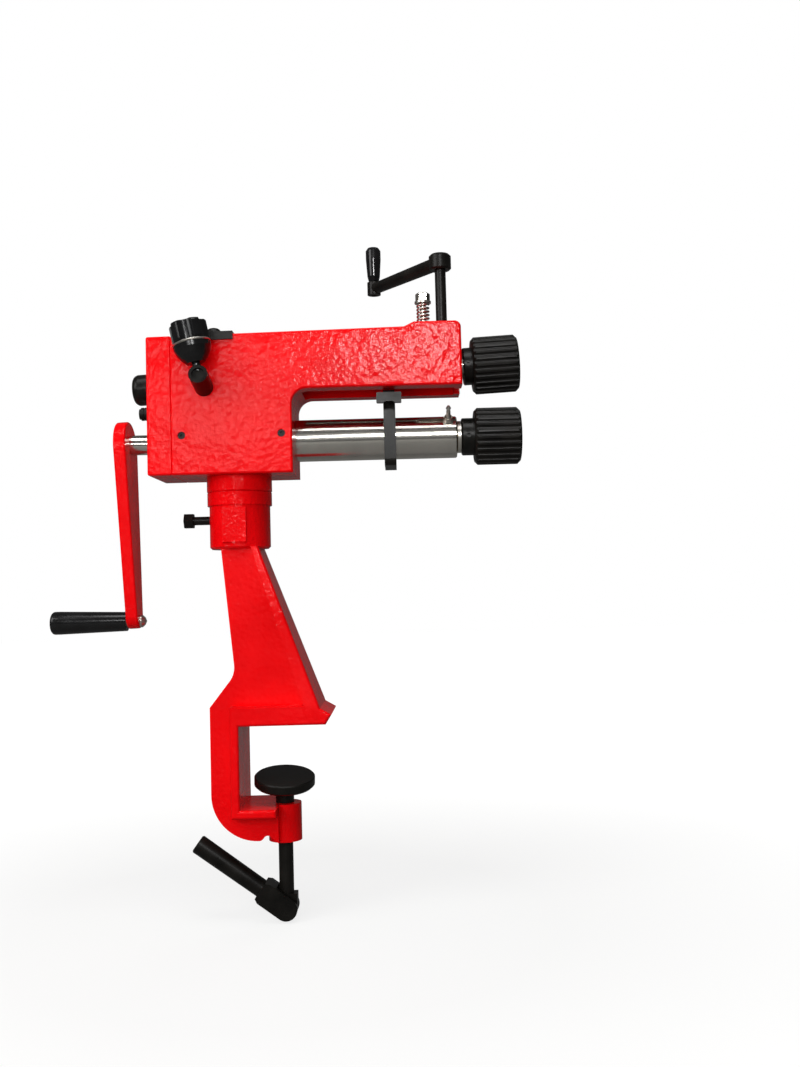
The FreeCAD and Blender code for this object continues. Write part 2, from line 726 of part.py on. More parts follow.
def head_casting():
    """Gearbox body, throat and upper arm in one casting, with the neck that swivels in the stand."""
    body = new_body("head_body")
    side = outline(sketch(body, "side", "XZ"), [
        ("seam_x", "head_bottom"), ("throat_x", "head_bottom"), ("throat_x", "arm_underside"),
        ("arm_end_x", "arm_underside"), ("arm_end_x", "pad_top"), ("pad_start_x + pad_ramp", "pad_top"),
        ("pad_start_x", "pad_start_top"), ("seam_x", "seam_top")])
    pad(body, side, "2 * half_depth", True)
    soften(body, "throat_round", "throat_radius",
           lambda p: near(p.x, "throat_x") and near(p.z, "arm_underside"))
    soften(body, "arm_corner", "arm_corner_radius",
           lambda p: near(p.x, "arm_end_x") and near(p.z, "pad_top"))
    soften(body, "head_edges", "edge_radius",
           lambda p: abs(abs(p.y) - value("half_depth")) < 0.01 and not near(p.x, "seam_x"))
    soften(body, "seam_edges", "seam_chamfer", lambda p: near(p.x, "seam_x"), "Chamfer")
    neck = outline(sketch(body, "neck", "XZ"), [
        ("0", "spigot_bottom"), ("spigot_radius - 1", "spigot_bottom"), ("spigot_radius", "spigot_bottom + 1"),
        ("spigot_radius", "neck_bottom"), ("neck_radius - neck_chamfer", "neck_bottom"),
        ("neck_radius", "neck_bottom + neck_chamfer"), ("neck_radius", "head_bottom + 1"),
        ("0", "head_bottom + 1")])
    revolve(body, neck, "V")
    pocket(body, rectangle(sketch(body, "cavity", "XZ"), "cavity_start_x", "cavity_floor", "cavity_end_x",
                           "roof_height"), "2 * (half_depth - side_wall)", True)
    channel = outline(sketch(body, "channel", "XZ"), [
        ("cavity_end_x - 1", "shaft_tunnel_floor"), ("channel_start_x", "shaft_tunnel_floor"),
        ("channel_start_x", "arm_underside - throat_radius"), ("channel_end_x", "arm_underside - throat_radius"),
        ("channel_end_x", "roof_height"), ("cavity_end_x - 1", "roof_height")])
    pocket(body, channel, "2 * channel_half", True)
    pocket(body, circle(sketch(body, "lower_rear_bore", "YZ", "cavity_start_x + 1"), "0", "0",
                        "lower_rear_bush_radius + slide_gap"), "rear_wall + 2")
    pocket(body, circle(sketch(body, "upper_rear_bore", "YZ", "cavity_start_x + 1"), "0", "shaft_distance",
                        "rear_ball_radius + slide_gap"), "rear_wall + 2")
    pocket(body, circle(sketch(body, "tube_seat", "YZ", "throat_x + 1"), "0", "0",
                        "tube_radius + slide_gap"), "throat_wall + 2")
    pocket(body, circle(sketch(body, "end_slot_top", "YZ", "arm_end_x + 1"), "0", "slot_open",
                        "end_slot_half"), "end_wall + 2")
    pocket(body, rectangle(sketch(body, "end_slot", "YZ", "arm_end_x + 1"), "-end_slot_half",
                           "arm_underside - 1", "end_slot_half", "slot_open"), "end_wall + 2")
    grubs = (("rear_grub", "rear_grub_x", "lower_rear_bush_radius"), ("front_grub", "front_grub_x", "tube_radius"))
    for name, x, radius in grubs:
        pocket(body, circle(sketch(body, name + "_hole", "XZ", "half_depth + 1"), x, "grub_height",
                            "grub_hole_radius"), "half_depth + 1 - %s + 2" % radius)
    pocket(body, circle(sketch(body, "feed_bore", "XY", "pad_top + 1"), "feed_x", "0",
                        "feed_radius + slide_gap"), "pad_top - roof_height + 2")
    pocket(body, circle(sketch(body, "lift_bore", "XY", "pad_top + 1"), "spring_bolt_x", "0",
                        "spring_bolt_radius + seat_gap"), "pad_top - roof_height + 2")
    pocket(body, circle(sketch(body, "post_bore", "XZ", "half_depth + 1"), "post_x", "post_height",
                        "post_spigot_radius + slide_gap"), "side_wall + 2")
    pocket(body, circle(sketch(body, "strap_bore", "XY", "pad_top"), "strap_screw_x", "strap_screw_y",
                        "strap_screw_radius + seat_gap"), "pad_top - roof_height + 2")
    for side in ("", "-"):
        for level in ("low", "high"):
            hole = circle(sketch(body, "cover_hole_%s%s" % (level, "_back" if side == "" else ""), "YZ",
                                 "cavity_start_x - 4"), side + "cover_screw_y", "cover_screw_" + level,
                          "cover_screw_radius + slide_gap")
            pocket(body, hole, "rear_wall")
    return on_head(keep(body, "head_casting"))


def rear_cover():
    """Cover over the gears, behind the seam."""
    body = new_body("cover_body")
    side = outline(sketch(body, "cover_side", "XZ"), [
        ("cover_rear_x", "head_bottom"), ("seam_x", "head_bottom"), ("seam_x", "seam_top"),
        ("cover_rear_x", arm_top("cover_rear_x"))])
    pad(body, side, "2 * half_depth", True)
    soften(body, "cover_edges", "edge_radius", lambda p: not near(p.x, "seam_x"))
    soften(body, "cover_seam_edges", "seam_chamfer", lambda p: near(p.x, "seam_x"), "Chamfer")
    for name, z in (("lower", "0"), ("upper", "shaft_distance")):
        pocket(body, circle(sketch(body, name + "_gear_room", "YZ", "seam_x"), "0", z, "gear_room_radius"),
               "cover_length - cover_wall")
    pocket(body, rectangle(sketch(body, "gear_room", "YZ", "seam_x"), "-gear_room_radius", "0",
                           "gear_room_radius", "shaft_distance"), "cover_length - cover_wall")
    for name, z in (("lower", "0"), ("upper", "shaft_distance")):
        pocket(body, circle(sketch(body, name + "_shaft_hole", "YZ", "seam_x"), "0", z,
                            "cover_%s_hole" % name), "cover_length + 1")
    pocket(body, circle(sketch(body, "oil_hole", "YZ", "seam_x"), "oil_plug_y", "oil_plug_z",
                        "oil_plug_thread + slide_gap"), "cover_length + 1")
    for side in ("", "-"):
        for level in ("low", "high"):
            label = level + ("_back" if side == "" else "")
            spot = (side + "cover_screw_y", "cover_screw_" + level)
            pocket(body, circle(sketch(body, "clear_" + label, "YZ", "seam_x"), spot[0], spot[1],
                                "cover_screw_radius + seat_gap"), "cover_length + 1")
            pocket(body, circle(sketch(body, "sink_" + label, "YZ", "cover_rear_x + cover_screw_head_height + 1"),
                                spot[0], spot[1], "cover_screw_head + seat_gap"),
                   "cover_screw_head_height + 2")
    return on_head(keep(body, "rear_cover"))


def cover_screws():
    """Four socket screws that hold the rear cover, one group."""
    solids = []
    for side in ("", "-"):
        for level in ("low", "high"):
            label = level + ("_back" if side == "" else "")
            head = rod("head_" + label, "cover_screw_head", "cover_screw_head_height",
                       "cover_rear_x + 1", side + "cover_screw_y", "cover_screw_" + level, "X")
            shank = rod("shank_" + label, "cover_screw_radius", "cover_screw_length",
                        "cover_rear_x + 2", side + "cover_screw_y", "cover_screw_" + level, "X")
            socket = rod("socket_" + label, "cover_screw_radius - 0.6", "3.4",
                         "cover_rear_x + 0.4", side + "cover_screw_y", "cover_screw_" + level, "X")
            solids.append(cut("screw_" + label, joined("blank_" + label, [head, shank]), socket))
    return on_head(keep(joined("cover_screw_group", solids), "cover_screws"))


def bearing_grub_screws():
    """Two grub screws in the front face that hold the lower rear bush and the tube."""
    solids = []
    seats = (("rear", "rear_grub_x", "lower_rear_bush_radius"), ("front", "front_grub_x", "tube_radius"))
    for name, x, radius in seats:
        screw = rod("grub_" + name, "grub_hole_radius - slide_gap",
                    "half_depth - grub_recess - %s - seat_gap" % radius, x, "grub_recess - half_depth",
                    "grub_height", "Y")
        socket = rod("grub_socket_" + name, "grub_hole_radius / 2", "3.5", x, "grub_recess - half_depth - 0.5",
                     "grub_height", "Y")
        solids.append(cut("grub_cut_" + name, screw, socket))
    return on_head(keep(joined("grub_group", solids), "bearing_grub_screws"))


def turned(name, points, finish=on_head):
    """Piece turned about the shaft direction from half of its section."""
    body = new_body(name + "_body")
    revolve(body, outline(sketch(body, name + "_half", "XZ"), points), "H")
    return finish(keep(body, name))


def ring(name, start, end, bore, radius, finish=on_head, edge="0.4"):
    """Plain bush or washer with broken outer edges."""
    return turned(name, [
        (start, bore), (end, bore), (end, "%s - %s" % (radius, edge)), ("%s - %s" % (end, edge), radius),
        ("%s + %s" % (start, edge), radius), (start, "%s - %s" % (radius, edge))], finish)


def lower_tube():
    """Polished tube that carries the lower shaft out of the head."""
    body = new_body("tube_body")
    half = outline(sketch(body, "tube_half", "XZ"), [
        ("cavity_end_x - 2", "tube_bore"), ("tube_end_x", "tube_bore"), ("tube_end_x", "tube_radius - tube_edge"),
        ("tube_end_x - tube_edge", "tube_radius"), ("cavity_end_x - 2", "tube_radius")])
    revolve(body, half, "H")
    nipple = rod("nipple_hole", "nipple_thread + slide_gap", "tube_radius", "nipple_x", "0", "0")
    nipple.Placement = Placement(Vector(value("nipple_x"), 0, 0), Rotation(AXES["X"], 1))
    bind(nipple, "Placement.Rotation.Angle", "nipple_angle")
    bind(nipple, "Height", "tube_radius + 2")
    return on_head(keep(cut("tube_less_hole", body, nipple), "lower_tube"))


def grease_nipple():
    """Grease nipple screwed into the tube, origin on the shaft axis."""
    body = new_body("nipple_body")
    half = outline(sketch(body, "nipple_half", "XZ"), [
        ("0", "tube_bore + seat_gap"), ("nipple_thread", "tube_bore + seat_gap"), ("nipple_thread", "nipple_seat + 1"),
        ("2.6", "nipple_seat + nipple_hex_height"), ("2", "nipple_seat + nipple_hex_height + 2"),
        ("2", "nipple_tip_radius - 6"), ("1.5", "nipple_tip_radius - 4"), ("2.4", "nipple_tip_radius - 2.6"),
        ("1.2", "nipple_tip_radius"), ("0", "nipple_tip_radius")])
    revolve(body, half, "V")
    pad(body, hexagon(sketch(body, "nipple_hex", "XY", "nipple_seat"), "nipple_hex_radius"), "nipple_hex_height")
    return on_head(keep(body, "grease_nipple"), "nipple_x", turn="X", angle="nipple_angle")


def shaft(name, tail_end, seat, finish, origin):
    """Steel shaft with a stepped tail, a keyway under the gear and a seat for the roll."""
    body = new_body(name + "_body")
    at = lambda text: "%s - %s" % (text, origin)
    half = outline(sketch(body, name + "_half", "XZ"), [
        (at(tail_end), "0"), (at("shaft_end_x"), "0"), (at("shaft_end_x"), "roll_seat_radius - shaft_chamfer"),
        (at("shaft_end_x - shaft_chamfer"), "roll_seat_radius"), (at(seat), "roll_seat_radius"),
        (at(seat), "shaft_radius"), (at("tail_start_x"), "shaft_radius"),
        (at("tail_start_x"), "tail_radius"), (at(tail_end + " + shaft_chamfer"), "tail_radius"),
        (at(tail_end), "tail_radius - shaft_chamfer")])
    revolve(body, half, "H")
    keyway = rectangle(sketch(body, name + "_keyway", "XY", "shaft_radius + 1"),
                       at("gear_start_x + 1 - slide_gap"), "-key_half_width - slide_gap",
                       at("gear_start_x + 1 + key_length + slide_gap"), "key_half_width + slide_gap")
    pocket(body, keyway, "1 + key_height / 2 + slide_gap")
    return finish(keep(body, name))


def gear(name, finish, origin):
    """Spur gear with an odd number of teeth, so that both gears have the same form and mesh."""
    body = new_body(name + "_body")
    at = lambda text: "%s - %s" % (text, origin)
    blank = outline(sketch(body, name + "_half", "XZ"), [
        (at("gear_start_x"), "bush_bore"), (at("seam_x - seat_gap"), "bush_bore"),
        (at("seam_x - seat_gap"), "gear_hub_radius"), (at("gear_end_x"), "gear_hub_radius"),
        (at("gear_end_x"), "gear_pitch_radius + gear_addendum"),
        (at("gear_start_x"), "gear_pitch_radius + gear_addendum")])
    revolve(body, blank, "H")
    foot = "(gear_gap_half - gear_dedendum * tan(pressure_angle))"
    mouth = "(gear_gap_half + (gear_addendum + 0.2) * tan(pressure_angle))"
    gap = outline(sketch(body, name + "_gap", "YZ", at("gear_end_x")), [
        ("-" + foot, "gear_pitch_radius - gear_dedendum"), (foot, "gear_pitch_radius - gear_dedendum"),
        (mouth, "gear_pitch_radius + gear_addendum + 0.2"), ("-" + mouth, "gear_pitch_radius + gear_addendum + 0.2")])
    polar(body, pocket(body, gap, "gear_width"), "X", "gear_teeth")
    slot = rectangle(sketch(body, name + "_key_slot", "YZ", at("seam_x")), "-key_half_width - slide_gap",
                     "shaft_radius - 1", "key_half_width + slide_gap", "shaft_radius + key_height / 2 + slide_gap")
    pocket(body, slot, "seam_x - gear_start_x + 1")
    return finish(keep(body, name))


def key(name, finish, origin):
    """Parallel key between shaft and gear."""
    body = new_body(name + "_body")
    at = lambda text: "%s - %s" % (text, origin)
    plan = rectangle(sketch(body, name + "_plan", "XY", "shaft_radius - key_height / 2"),
                     at("gear_start_x + 1"), "-key_half_width", at("gear_start_x + 1 + key_length"),
                     "key_half_width")
    pad(body, plan, "key_height")
    return finish(keep(body, name))


def roll(name, start, finish, origin):
    """Fluted crimping roll with a hub. An odd number of flutes lets both rolls mesh."""
    body = new_body(name + "_body")
    at = lambda text: "%s - %s" % (text, origin)
    half = outline(sketch(body, name + "_half", "XZ"), [
        (at(start + " + slide_gap"), "roll_seat_radius + slide_gap"),
        (at("roll_end_x"), "roll_seat_radius + slide_gap"),
        (at("roll_end_x"), "roll_radius - roll_chamfer"), (at("roll_end_x - roll_chamfer"), "roll_radius"),
        (at("roll_start_x + roll_chamfer"), "roll_radius"), (at("roll_start_x"), "roll_radius - roll_chamfer"),
        (at("roll_start_x"), "roll_hub_radius"), (at(start + " + 1"), "roll_hub_radius"),
        (at(start + " + slide_gap"), "roll_hub_radius - 1")])
    revolve(body, half, "H")
    flute = circle(sketch(body, name + "_flute", "YZ", at("roll_end_x + 1")), "0", "flute_centre", "flute_radius")
    polar(body, pocket(body, flute, "roll_end_x - roll_start_x + 2"), "X", "flute_count")
    hole = circle(sketch(body, name + "_screw_hole", "XZ", "roll_hub_radius + 1"),
                  at("(%s + roll_start_x) / 2" % start), "0", "roll_screw_radius + slide_gap")
    pocket(body, hole, "roll_hub_radius + 1 - roll_seat_radius")
    return finish(keep(body, name))


def roll_set_screw(name, start, finish, origin):
    """Set screw in the hub of a roll."""
    body = new_body(name + "_body")
    middle_x = "(%s + roll_start_x) / 2 - %s" % (start, origin)
    stem = circle(sketch(body, name + "_stem", "XZ", "roll_seat_radius + seat_gap"), middle_x, "0",
                  "roll_screw_radius")
    pad(body, stem, "roll_hub_radius - roll_screw_recess - roll_seat_radius - seat_gap")
    key_hole = hexagon(sketch(body, name + "_key", "XZ", "roll_hub_radius"), "roll_screw_radius * 0.55", middle_x)
    pocket(body, key_hole, "2.6")
    return finish(keep(body, name))


def upper_rear_bush():
    """Self aligning rear bush of the upper shaft."""
    return turned("upper_rear_bush", [
        ("-rear_ball_width / 2", "bush_bore"), ("rear_ball_width / 2", "bush_bore"),
        ("rear_ball_width / 2", "rear_ball_flat", "rear_ball_radius"), ("-rear_ball_width / 2", "rear_ball_flat")],
        on_upper_shaft)


def upper_front_bush():
    """Self aligning front bush whose sleeve shows at the end of the arm."""
    start = "ball_reach - front_ball_width / 2"
    shoulder = "ball_reach + front_ball_width / 2"
    end = "bush_sleeve_end_x - tilt_pivot_x"
    return turned("upper_front_bush", [
        (start, "bush_bore"), (end, "bush_bore"), (end, "bush_sleeve_radius - 0.5"),
        (end + " - 0.5", "bush_sleeve_radius"), (shoulder, "bush_sleeve_radius"),
        (shoulder, "front_ball_flat", "front_ball_radius"), (start, "front_ball_flat")],
        on_upper_shaft)


def bearing_block():
    """Saddle that slides up and down in the arm and carries the front bush."""
    body = new_body("block_body")
    side = rectangle(sketch(body, "block_side", "XZ"), "-block_length / 2", "-block_below", "block_length / 2",
                     "block_above")
    pad(body, side, "2 * (channel_half - slide_gap)", True)
    pocket(body, circle(sketch(body, "block_bore", "YZ"), "0", "0", "front_ball_radius + slide_gap"),
           "block_length + 2", True)
    thread = circle(sketch(body, "block_thread", "XY", "block_above"), "spring_bolt_x - block_x", "0",
                    "spring_bolt_radius + slide_gap")
    pocket(body, thread, "block_above - front_ball_radius - seat_gap")
    return on_head(keep(body, "bearing_block"), "block_x", "0", "block_rest")


def spring_bolt():
    """Bolt that the return spring lifts, with the block hanging from it."""
    body = new_body("spring_bolt_body")
    shank = circle(sketch(body, "lift_shank", "XY", "block_rest + front_ball_radius + 2 * seat_gap"), "0", "0",
                   "spring_bolt_radius")
    pad(body, shank, "spring_bolt_seat - block_rest - front_ball_radius - 2 * seat_gap")
    head = hexagon(sketch(body, "lift_head", "XY", "spring_bolt_seat"), "spring_bolt_head")
    pad(body, head, "spring_bolt_head_height")
    soften(body, "lift_head_edges", "1", lambda p: near(p.z, "spring_bolt_seat + spring_bolt_head_height"),
           "Chamfer")
    return on_head(keep(body, "spring_bolt"), "spring_bolt_x")


def spring_washer():
    """Flat washer between the return spring and the bolt head."""
    body = new_body("spring_washer_body")
    half = rectangle(sketch(body, "spring_washer_half", "XZ"), "spring_bolt_radius + slide_gap",
                     "spring_washer_bottom", "spring_washer_radius", "spring_bolt_seat")
    revolve(body, half, "V")
    return on_head(keep(body, "spring_washer"), "spring_bolt_x")


def biarc(start, start_way, end, end_way):
    """Two arcs that leave start and reach end in the given directions."""
    chord = end - start
    ways = start_way + end_way
    slack = 2 * (1 - start_way.dot(end_way))
    reach = (math.sqrt(chord.dot(ways) ** 2 + slack * chord.dot(chord)) - chord.dot(ways)) / slack
    join = (start + start_way * reach + end - end_way * reach) * 0.5
    arcs = []
    for first, way, last in ((start, start_way, join), (end, end_way * -1, join)):
        line = last - first
        unit = Vector(line).normalize()
        side = (way - unit * way.dot(unit)).normalize()
        bulge = line.Length / 2 * math.tan(math.acos(min(1, way.dot(unit))) / 2)
        top = (first + last) * 0.5 + side * bulge
        ends = (first, last) if first is start else (last, first)
        arcs.append(Part.Arc(ends[0], top, ends[1]).toShape())
    return arcs


def return_spring():
    """Compression spring round the lift bolt, one unbroken tube."""
    wire = value("spring_wire")
    radius = value("spring_coil_radius")
    turns = value("spring_turns")
    low = value("pad_top") + wire + value("seat_gap") / 2
    high = value("spring_washer_bottom") - wire - value("seat_gap") / 2
    pitch = (high - low) / turns
    climb = pitch / (2 * math.pi)

    def point(angle):
        return Vector(radius * math.cos(angle), radius * math.sin(angle), low + climb * angle)

    def way(angle):
        return Vector(-radius * math.sin(angle), radius * math.cos(angle), climb).normalize()

    quarter = math.pi / 2
    steps = int(round(4 * turns))
    edges = []
    for step in range(steps):
        edges += biarc(point(step * quarter), way(step * quarter), point((step + 1) * quarter),
                       way((step + 1) * quarter))
    section = Part.Wire([Part.Circle(point(0), way(0), wire).toShape()])
    shell = Part.BRepOffsetAPI.MakePipeShell(Part.Wire(edges))
    shell.add(section)
    shell.build()
    shell.makeSolid()
    item = doc.addObject("Part::Feature", "spring_shape")
    item.Shape = shell.shape()
    samples = [point(2 * math.pi * index / 24) for index in range(24)]
    above = [point(2 * math.pi * (index / 96 + 0.75)) for index in range(48)]
    gap = min((one - two).Length for one in samples[:1] for two in above) - 2 * wire
    print("return_spring least gap to itself %.2f mm" % gap)
    return on_head(keep(item, "return_spring"), "spring_bolt_x")


def feed_screw():
    """Pressure screw that pushes the block down, with the hub of its crank."""
    body = new_body("feed_screw_body")
    half = outline(sketch(body, "feed_half", "XZ"), [
        ("0", "block_top + slide_gap"), ("feed_radius - 1", "block_top + slide_gap"),
        ("feed_radius", "block_top + slide_gap + 1"), ("feed_radius", "feed_arm_height - feed_hub_height / 2"),
        ("feed_hub_radius - 1.5", "feed_arm_height - feed_hub_height / 2"),
        ("feed_hub_radius", "feed_arm_height - feed_hub_height / 2 + 1.5"),
        ("feed_hub_radius", "feed_arm_height + feed_hub_height / 2 - 2"),
        ("feed_hub_radius - 2", "feed_arm_height + feed_hub_height / 2"),
        ("0", "feed_arm_height + feed_hub_height / 2")])
    revolve(body, half, "V")
    bore = rod("feed_arm_bore", "feed_arm_root + slide_gap", "feed_hub_radius + 1", "0", "0", "feed_arm_height", "X")
    blank = cut("feed_screw_cut", body, bore)
    return on_head(keep(blank, "feed_screw"), "feed_x", turn="Z", angle="feed_arm_angle")


def feed_crank_arm():
    """Tapered round arm of the feed crank with an eye for the grip pin, X along the arm."""
    bar = new_body("feed_bar_body")
    half = outline(sketch(bar, "feed_bar_half", "XZ"), [
        ("slide_gap", "0"), ("feed_arm_length", "0"), ("feed_arm_length", "feed_arm_tip"),
        ("feed_hub_radius", "feed_arm_root"), ("slide_gap", "feed_arm_root")])
    revolve(bar, half, "H")
    eye = circle(sketch(bar, "feed_eye", "XY", "-feed_arm_tip - feed_eye_rim"), "feed_arm_length", "0",
                 "feed_eye_radius")
    pad(bar, eye, "2 * (feed_arm_tip + feed_eye_rim)")
    pocket(bar, circle(sketch(bar, "feed_eye_bore", "XY", "feed_arm_tip + 1"), "feed_arm_length", "0",
                       "feed_pin_radius + slide_gap"), "2 * feed_arm_tip + 2")
    return on_head(keep(bar, "feed_crank_arm"), "feed_x", "0", "feed_arm_height", "Z", "feed_arm_angle")


def at_feed_grip(item):
    """Place on the vertical axis at the end of the feed crank."""
    return on_head(item, "feed_x + feed_arm_length * cos(feed_arm_angle)",
                   "feed_arm_length * sin(feed_arm_angle)")


def feed_grip():
    """Small turning grip of the feed crank."""
    body = new_body("feed_grip_body")
    half = outline(sketch(body, "feed_grip_half", "XZ"), [
        ("feed_pin_radius + 2 * slide_gap", "feed_grip_bottom"), ("feed_grip_radius - 2.4", "feed_grip_bottom"),
        ("feed_grip_radius - 1.2", "feed_grip_bottom + 5"), ("feed_grip_radius", "feed_grip_top - 12"),
        ("feed_grip_radius", "feed_grip_top - 3"), ("feed_grip_radius - 2", "feed_grip_top"),
        ("feed_pin_head + seat_gap", "feed_grip_top"),
        ("feed_pin_head + seat_gap", "feed_grip_top - feed_grip_recess"),
        ("feed_pin_radius + 2 * slide_gap", "feed_grip_top - feed_grip_recess")])
    revolve(body, half, "V")
    return at_feed_grip(keep(body, "feed_grip"))


def feed_grip_pin():
    """Shoulder pin that the small grip turns on."""
    body = new_body("feed_pin_body")
    half = outline(sketch(body, "feed_pin_half", "XZ"), [
        ("0", "feed_arm_height - feed_arm_tip"), ("feed_pin_radius", "feed_arm_height - feed_arm_tip"),
        ("feed_pin_radius", "feed_grip_top - feed_grip_recess + seat_gap"),
        ("feed_pin_head", "feed_grip_top - feed_grip_recess + seat_gap"),
        ("feed_pin_head", "feed_grip_top - 2"), ("feed_pin_head - 1", "feed_grip_top - 1"),
        ("0", "feed_grip_top - 1")])
    revolve(body, half, "V")
    return at_feed_grip(keep(body, "feed_grip_pin"))


def work_stop():
    """Slit plate collar on the tube that the sheet edge runs against."""
    body = new_body("stop_body")
    face = rectangle(sketch(body, "stop_face", "YZ"), "-stop_half_depth", "stop_bottom", "stop_half_depth",
                     "stop_top")
    pad(body, face, "stop_thickness", True)
    soften(body, "stop_corners", "stop_corner", lambda p: near(p.x, "0"))
    pocket(body, circle(sketch(body, "stop_bore", "YZ"), "0", "0", "tube_radius + slide_gap"),
           "stop_thickness + 2", True)
    pocket(body, rectangle(sketch(body, "stop_slot", "YZ"), "-stop_slit / 2", "0", "stop_slit / 2",
                           "stop_top + 1"), "stop_thickness + 2", True)
    pocket(body, circle(sketch(body, "stop_screw_hole", "XZ"), "0", "wing_height",
                        "wing_screw_radius + slide_gap"), "2 * stop_half_depth + 2", True)
    return on_head(keep(body, "work_stop"), "stop_x")


def wing_screw():
    """Wing screw that closes the slit of the work stop."""
    body = new_body("wing_body")
    stem = circle(sketch(body, "wing_stem", "XZ", "-stop_half_depth + 4"), "0", "0", "wing_screw_radius")
    pad(body, stem, "wing_near + stop_half_depth - 4 + 1")
    wings = outline(sketch(body, "wings", "XZ", "wing_near"), [
        ("-wing_span / 2", "-wing_tall / 2"), ("-wing_span / 4", "-wing_tall / 2"), ("-wing_waist", "-wing_waist"),
        ("wing_waist", "-wing_waist"), ("wing_span / 4", "-wing_tall / 2"), ("wing_span / 2", "-wing_tall / 2"),
        ("wing_span / 2", "wing_tall / 2"), ("-wing_span / 2", "wing_tall / 2")])
    pad(body, wings, "wing_thickness")
    soften(body, "wing_edges", "1", lambda p: near(p.y, "-wing_near - wing_thickness / 2")
           and abs(p.x) > value("wing_span") / 2 - 0.1)
    return on_head(keep(body, "wing_screw"), "stop_x", "0", "wing_height")


def lock_post():
    """Inclined post in the front face that carries the star knob."""
    barrel = rod("post_barrel", "post_radius", "post_length + 14")
    barrel.Placement = Placement(Vector(0, 0, 0), Rotation(AXES["X"], 1))
    bind(barrel, "Placement.Rotation.Angle", "90 - post_rise")
    bind(barrel, "Placement.Base.y", "14 * cos(post_rise)")
    bind(barrel, "Placement.Base.z", "-14 * sin(post_rise)")
    wall = doc.addObject("Part::Box", "post_wall")
    for prop, text in (("Length", "6 * post_radius"), ("Width", "30"), ("Height", "8 * post_radius")):
        bind(wall, prop, text)
    wall.Placement = Placement(Vector(value("-3 * post_radius"), 0, value("-4 * post_radius")), Rotation())
    bind(wall, "Placement.Base.x", "-3 * post_radius")
    bind(wall, "Placement.Base.z", "-4 * post_radius")
    spigot = rod("post_spigot", "post_spigot_radius", "side_wall - 1", "0", "0", "0", "Y")
    recess = rod("post_recess", "post_radius * 0.68", "6")
    recess.Placement = Placement(Vector(0, 0, 0), Rotation(AXES["X"], 1))
    bind(recess, "Placement.Rotation.Angle", "90 - post_rise")
    bind(recess, "Placement.Base.y", "-(post_length - 3) * cos(post_rise)")
    bind(recess, "Placement.Base.z", "(post_length - 3) * sin(post_rise)")
    stud_hole = rod("post_stud_hole", "knob_stud_radius + slide_gap", "30")
    stud_hole.Placement = Placement(Vector(0, 0, 0), Rotation(AXES["Y"], 1))
    bind(stud_hole, "Placement.Rotation.Angle", "-knob_lean")
    bind(stud_hole, "Placement.Base.y", "knob_y + half_depth")
    bind(stud_hole, "Placement.Base.z", "knob_base - post_height")
    blank = joined("post_blank", [cut("post_cut", barrel, wall), spigot])
    return on_head(keep(cut("post_bored", cut("post_open", blank, recess), stud_hole), "lock_post"),
                   "post_x", "-half_depth", "post_height")


def knob_place(item):
    """Place on the leaning axis of the star knob."""
    return on_head(item, "post_x", "knob_y", "knob_base", "Y", "-knob_lean")


def lock_knob():
    """Star knob with its bowl shaped foot and stud."""
    body = new_body("knob_body")
    disc = circle(sketch(body, "knob_disc", "XY", "knob_cup_end + knob_ring_thickness"), "0", "0", "knob_radius")
    pad(body, disc, "knob_lobe_height")
    soften(body, "knob_edges", "2.5", lambda p: True)
    scallop = circle(sketch(body, "knob_scallop", "XY", "knob_cup_end + knob_ring_thickness + knob_lobe_height + 1"),
                     "knob_scallop_centre * sin(36)", "knob_scallop_centre * cos(36)", "knob_scallop_radius")
    polar(body, pocket(body, scallop, "knob_lobe_height + 2"), "Z", "knob_lobes")
    half = outline(sketch(body, "knob_foot", "XZ"), [
        ("0", "1"), ("knob_stud_radius", "1"), ("knob_stud_radius", "knob_cup_start"),
        ("knob_radius * 0.5", "knob_cup_start"), ("knob_radius * 0.71", "knob_cup_start + 4"),
        ("knob_radius * 0.86", "knob_cup_start + 8"), ("knob_radius * 0.98", "knob_cup_start + 13"),
        ("knob_radius", "knob_cup_end - slide_gap"), ("knob_stud_radius", "knob_cup_end - slide_gap"),
        ("knob_stud_radius", "knob_cup_end + knob_ring_thickness + 1"),
        ("0", "knob_cup_end + knob_ring_thickness + 1")])
    revolve(body, half, "V")
    return knob_place(keep(body, "lock_knob"))


def knob_ring():
    """Bright ring between the lobes and the foot of the knob."""
    body = new_body("knob_ring_body")
    half = outline(sketch(body, "knob_ring_half", "XZ"), [
        ("knob_stud_radius + slide_gap", "knob_cup_end"), ("knob_radius - 0.6", "knob_cup_end"),
        ("knob_radius + 0.4", "knob_cup_end + 1"),
        ("knob_radius - 0.6", "knob_cup_end + knob_ring_thickness - slide_gap"),
        ("knob_stud_radius + slide_gap", "knob_cup_end + knob_ring_thickness - slide_gap")])
    revolve(body, half, "V")
    return knob_place(keep(body, "knob_ring"))


def top_strap():
    """Angle clip on the top front edge of the head."""
    body = new_body("strap_body")
    section = outline(sketch(body, "strap_section", "YZ"), [
        ("strap_back_y", "slide_gap"), ("strap_back_y", "strap_thickness"),
        ("-half_depth - strap_thickness", "strap_thickness"),
        ("-half_depth - strap_thickness", "strap_thickness - strap_leg"),
        ("-half_depth - slide_gap", "strap_thickness - strap_leg"), ("-half_depth - slide_gap", "slide_gap")])
    pad(body, section, "strap_right_x - strap_left_x")
    pocket(body, circle(sketch(body, "strap_hole", "XY", "strap_thickness + 1"), "strap_screw_x - strap_left_x",
                        "strap_screw_y", "strap_screw_radius + seat_gap"), "strap_thickness + 2")
    return on_head(keep(body, "top_strap"), "strap_left_x", "0", arm_top("strap_left_x"), "Y", "-atan(top_slope)")


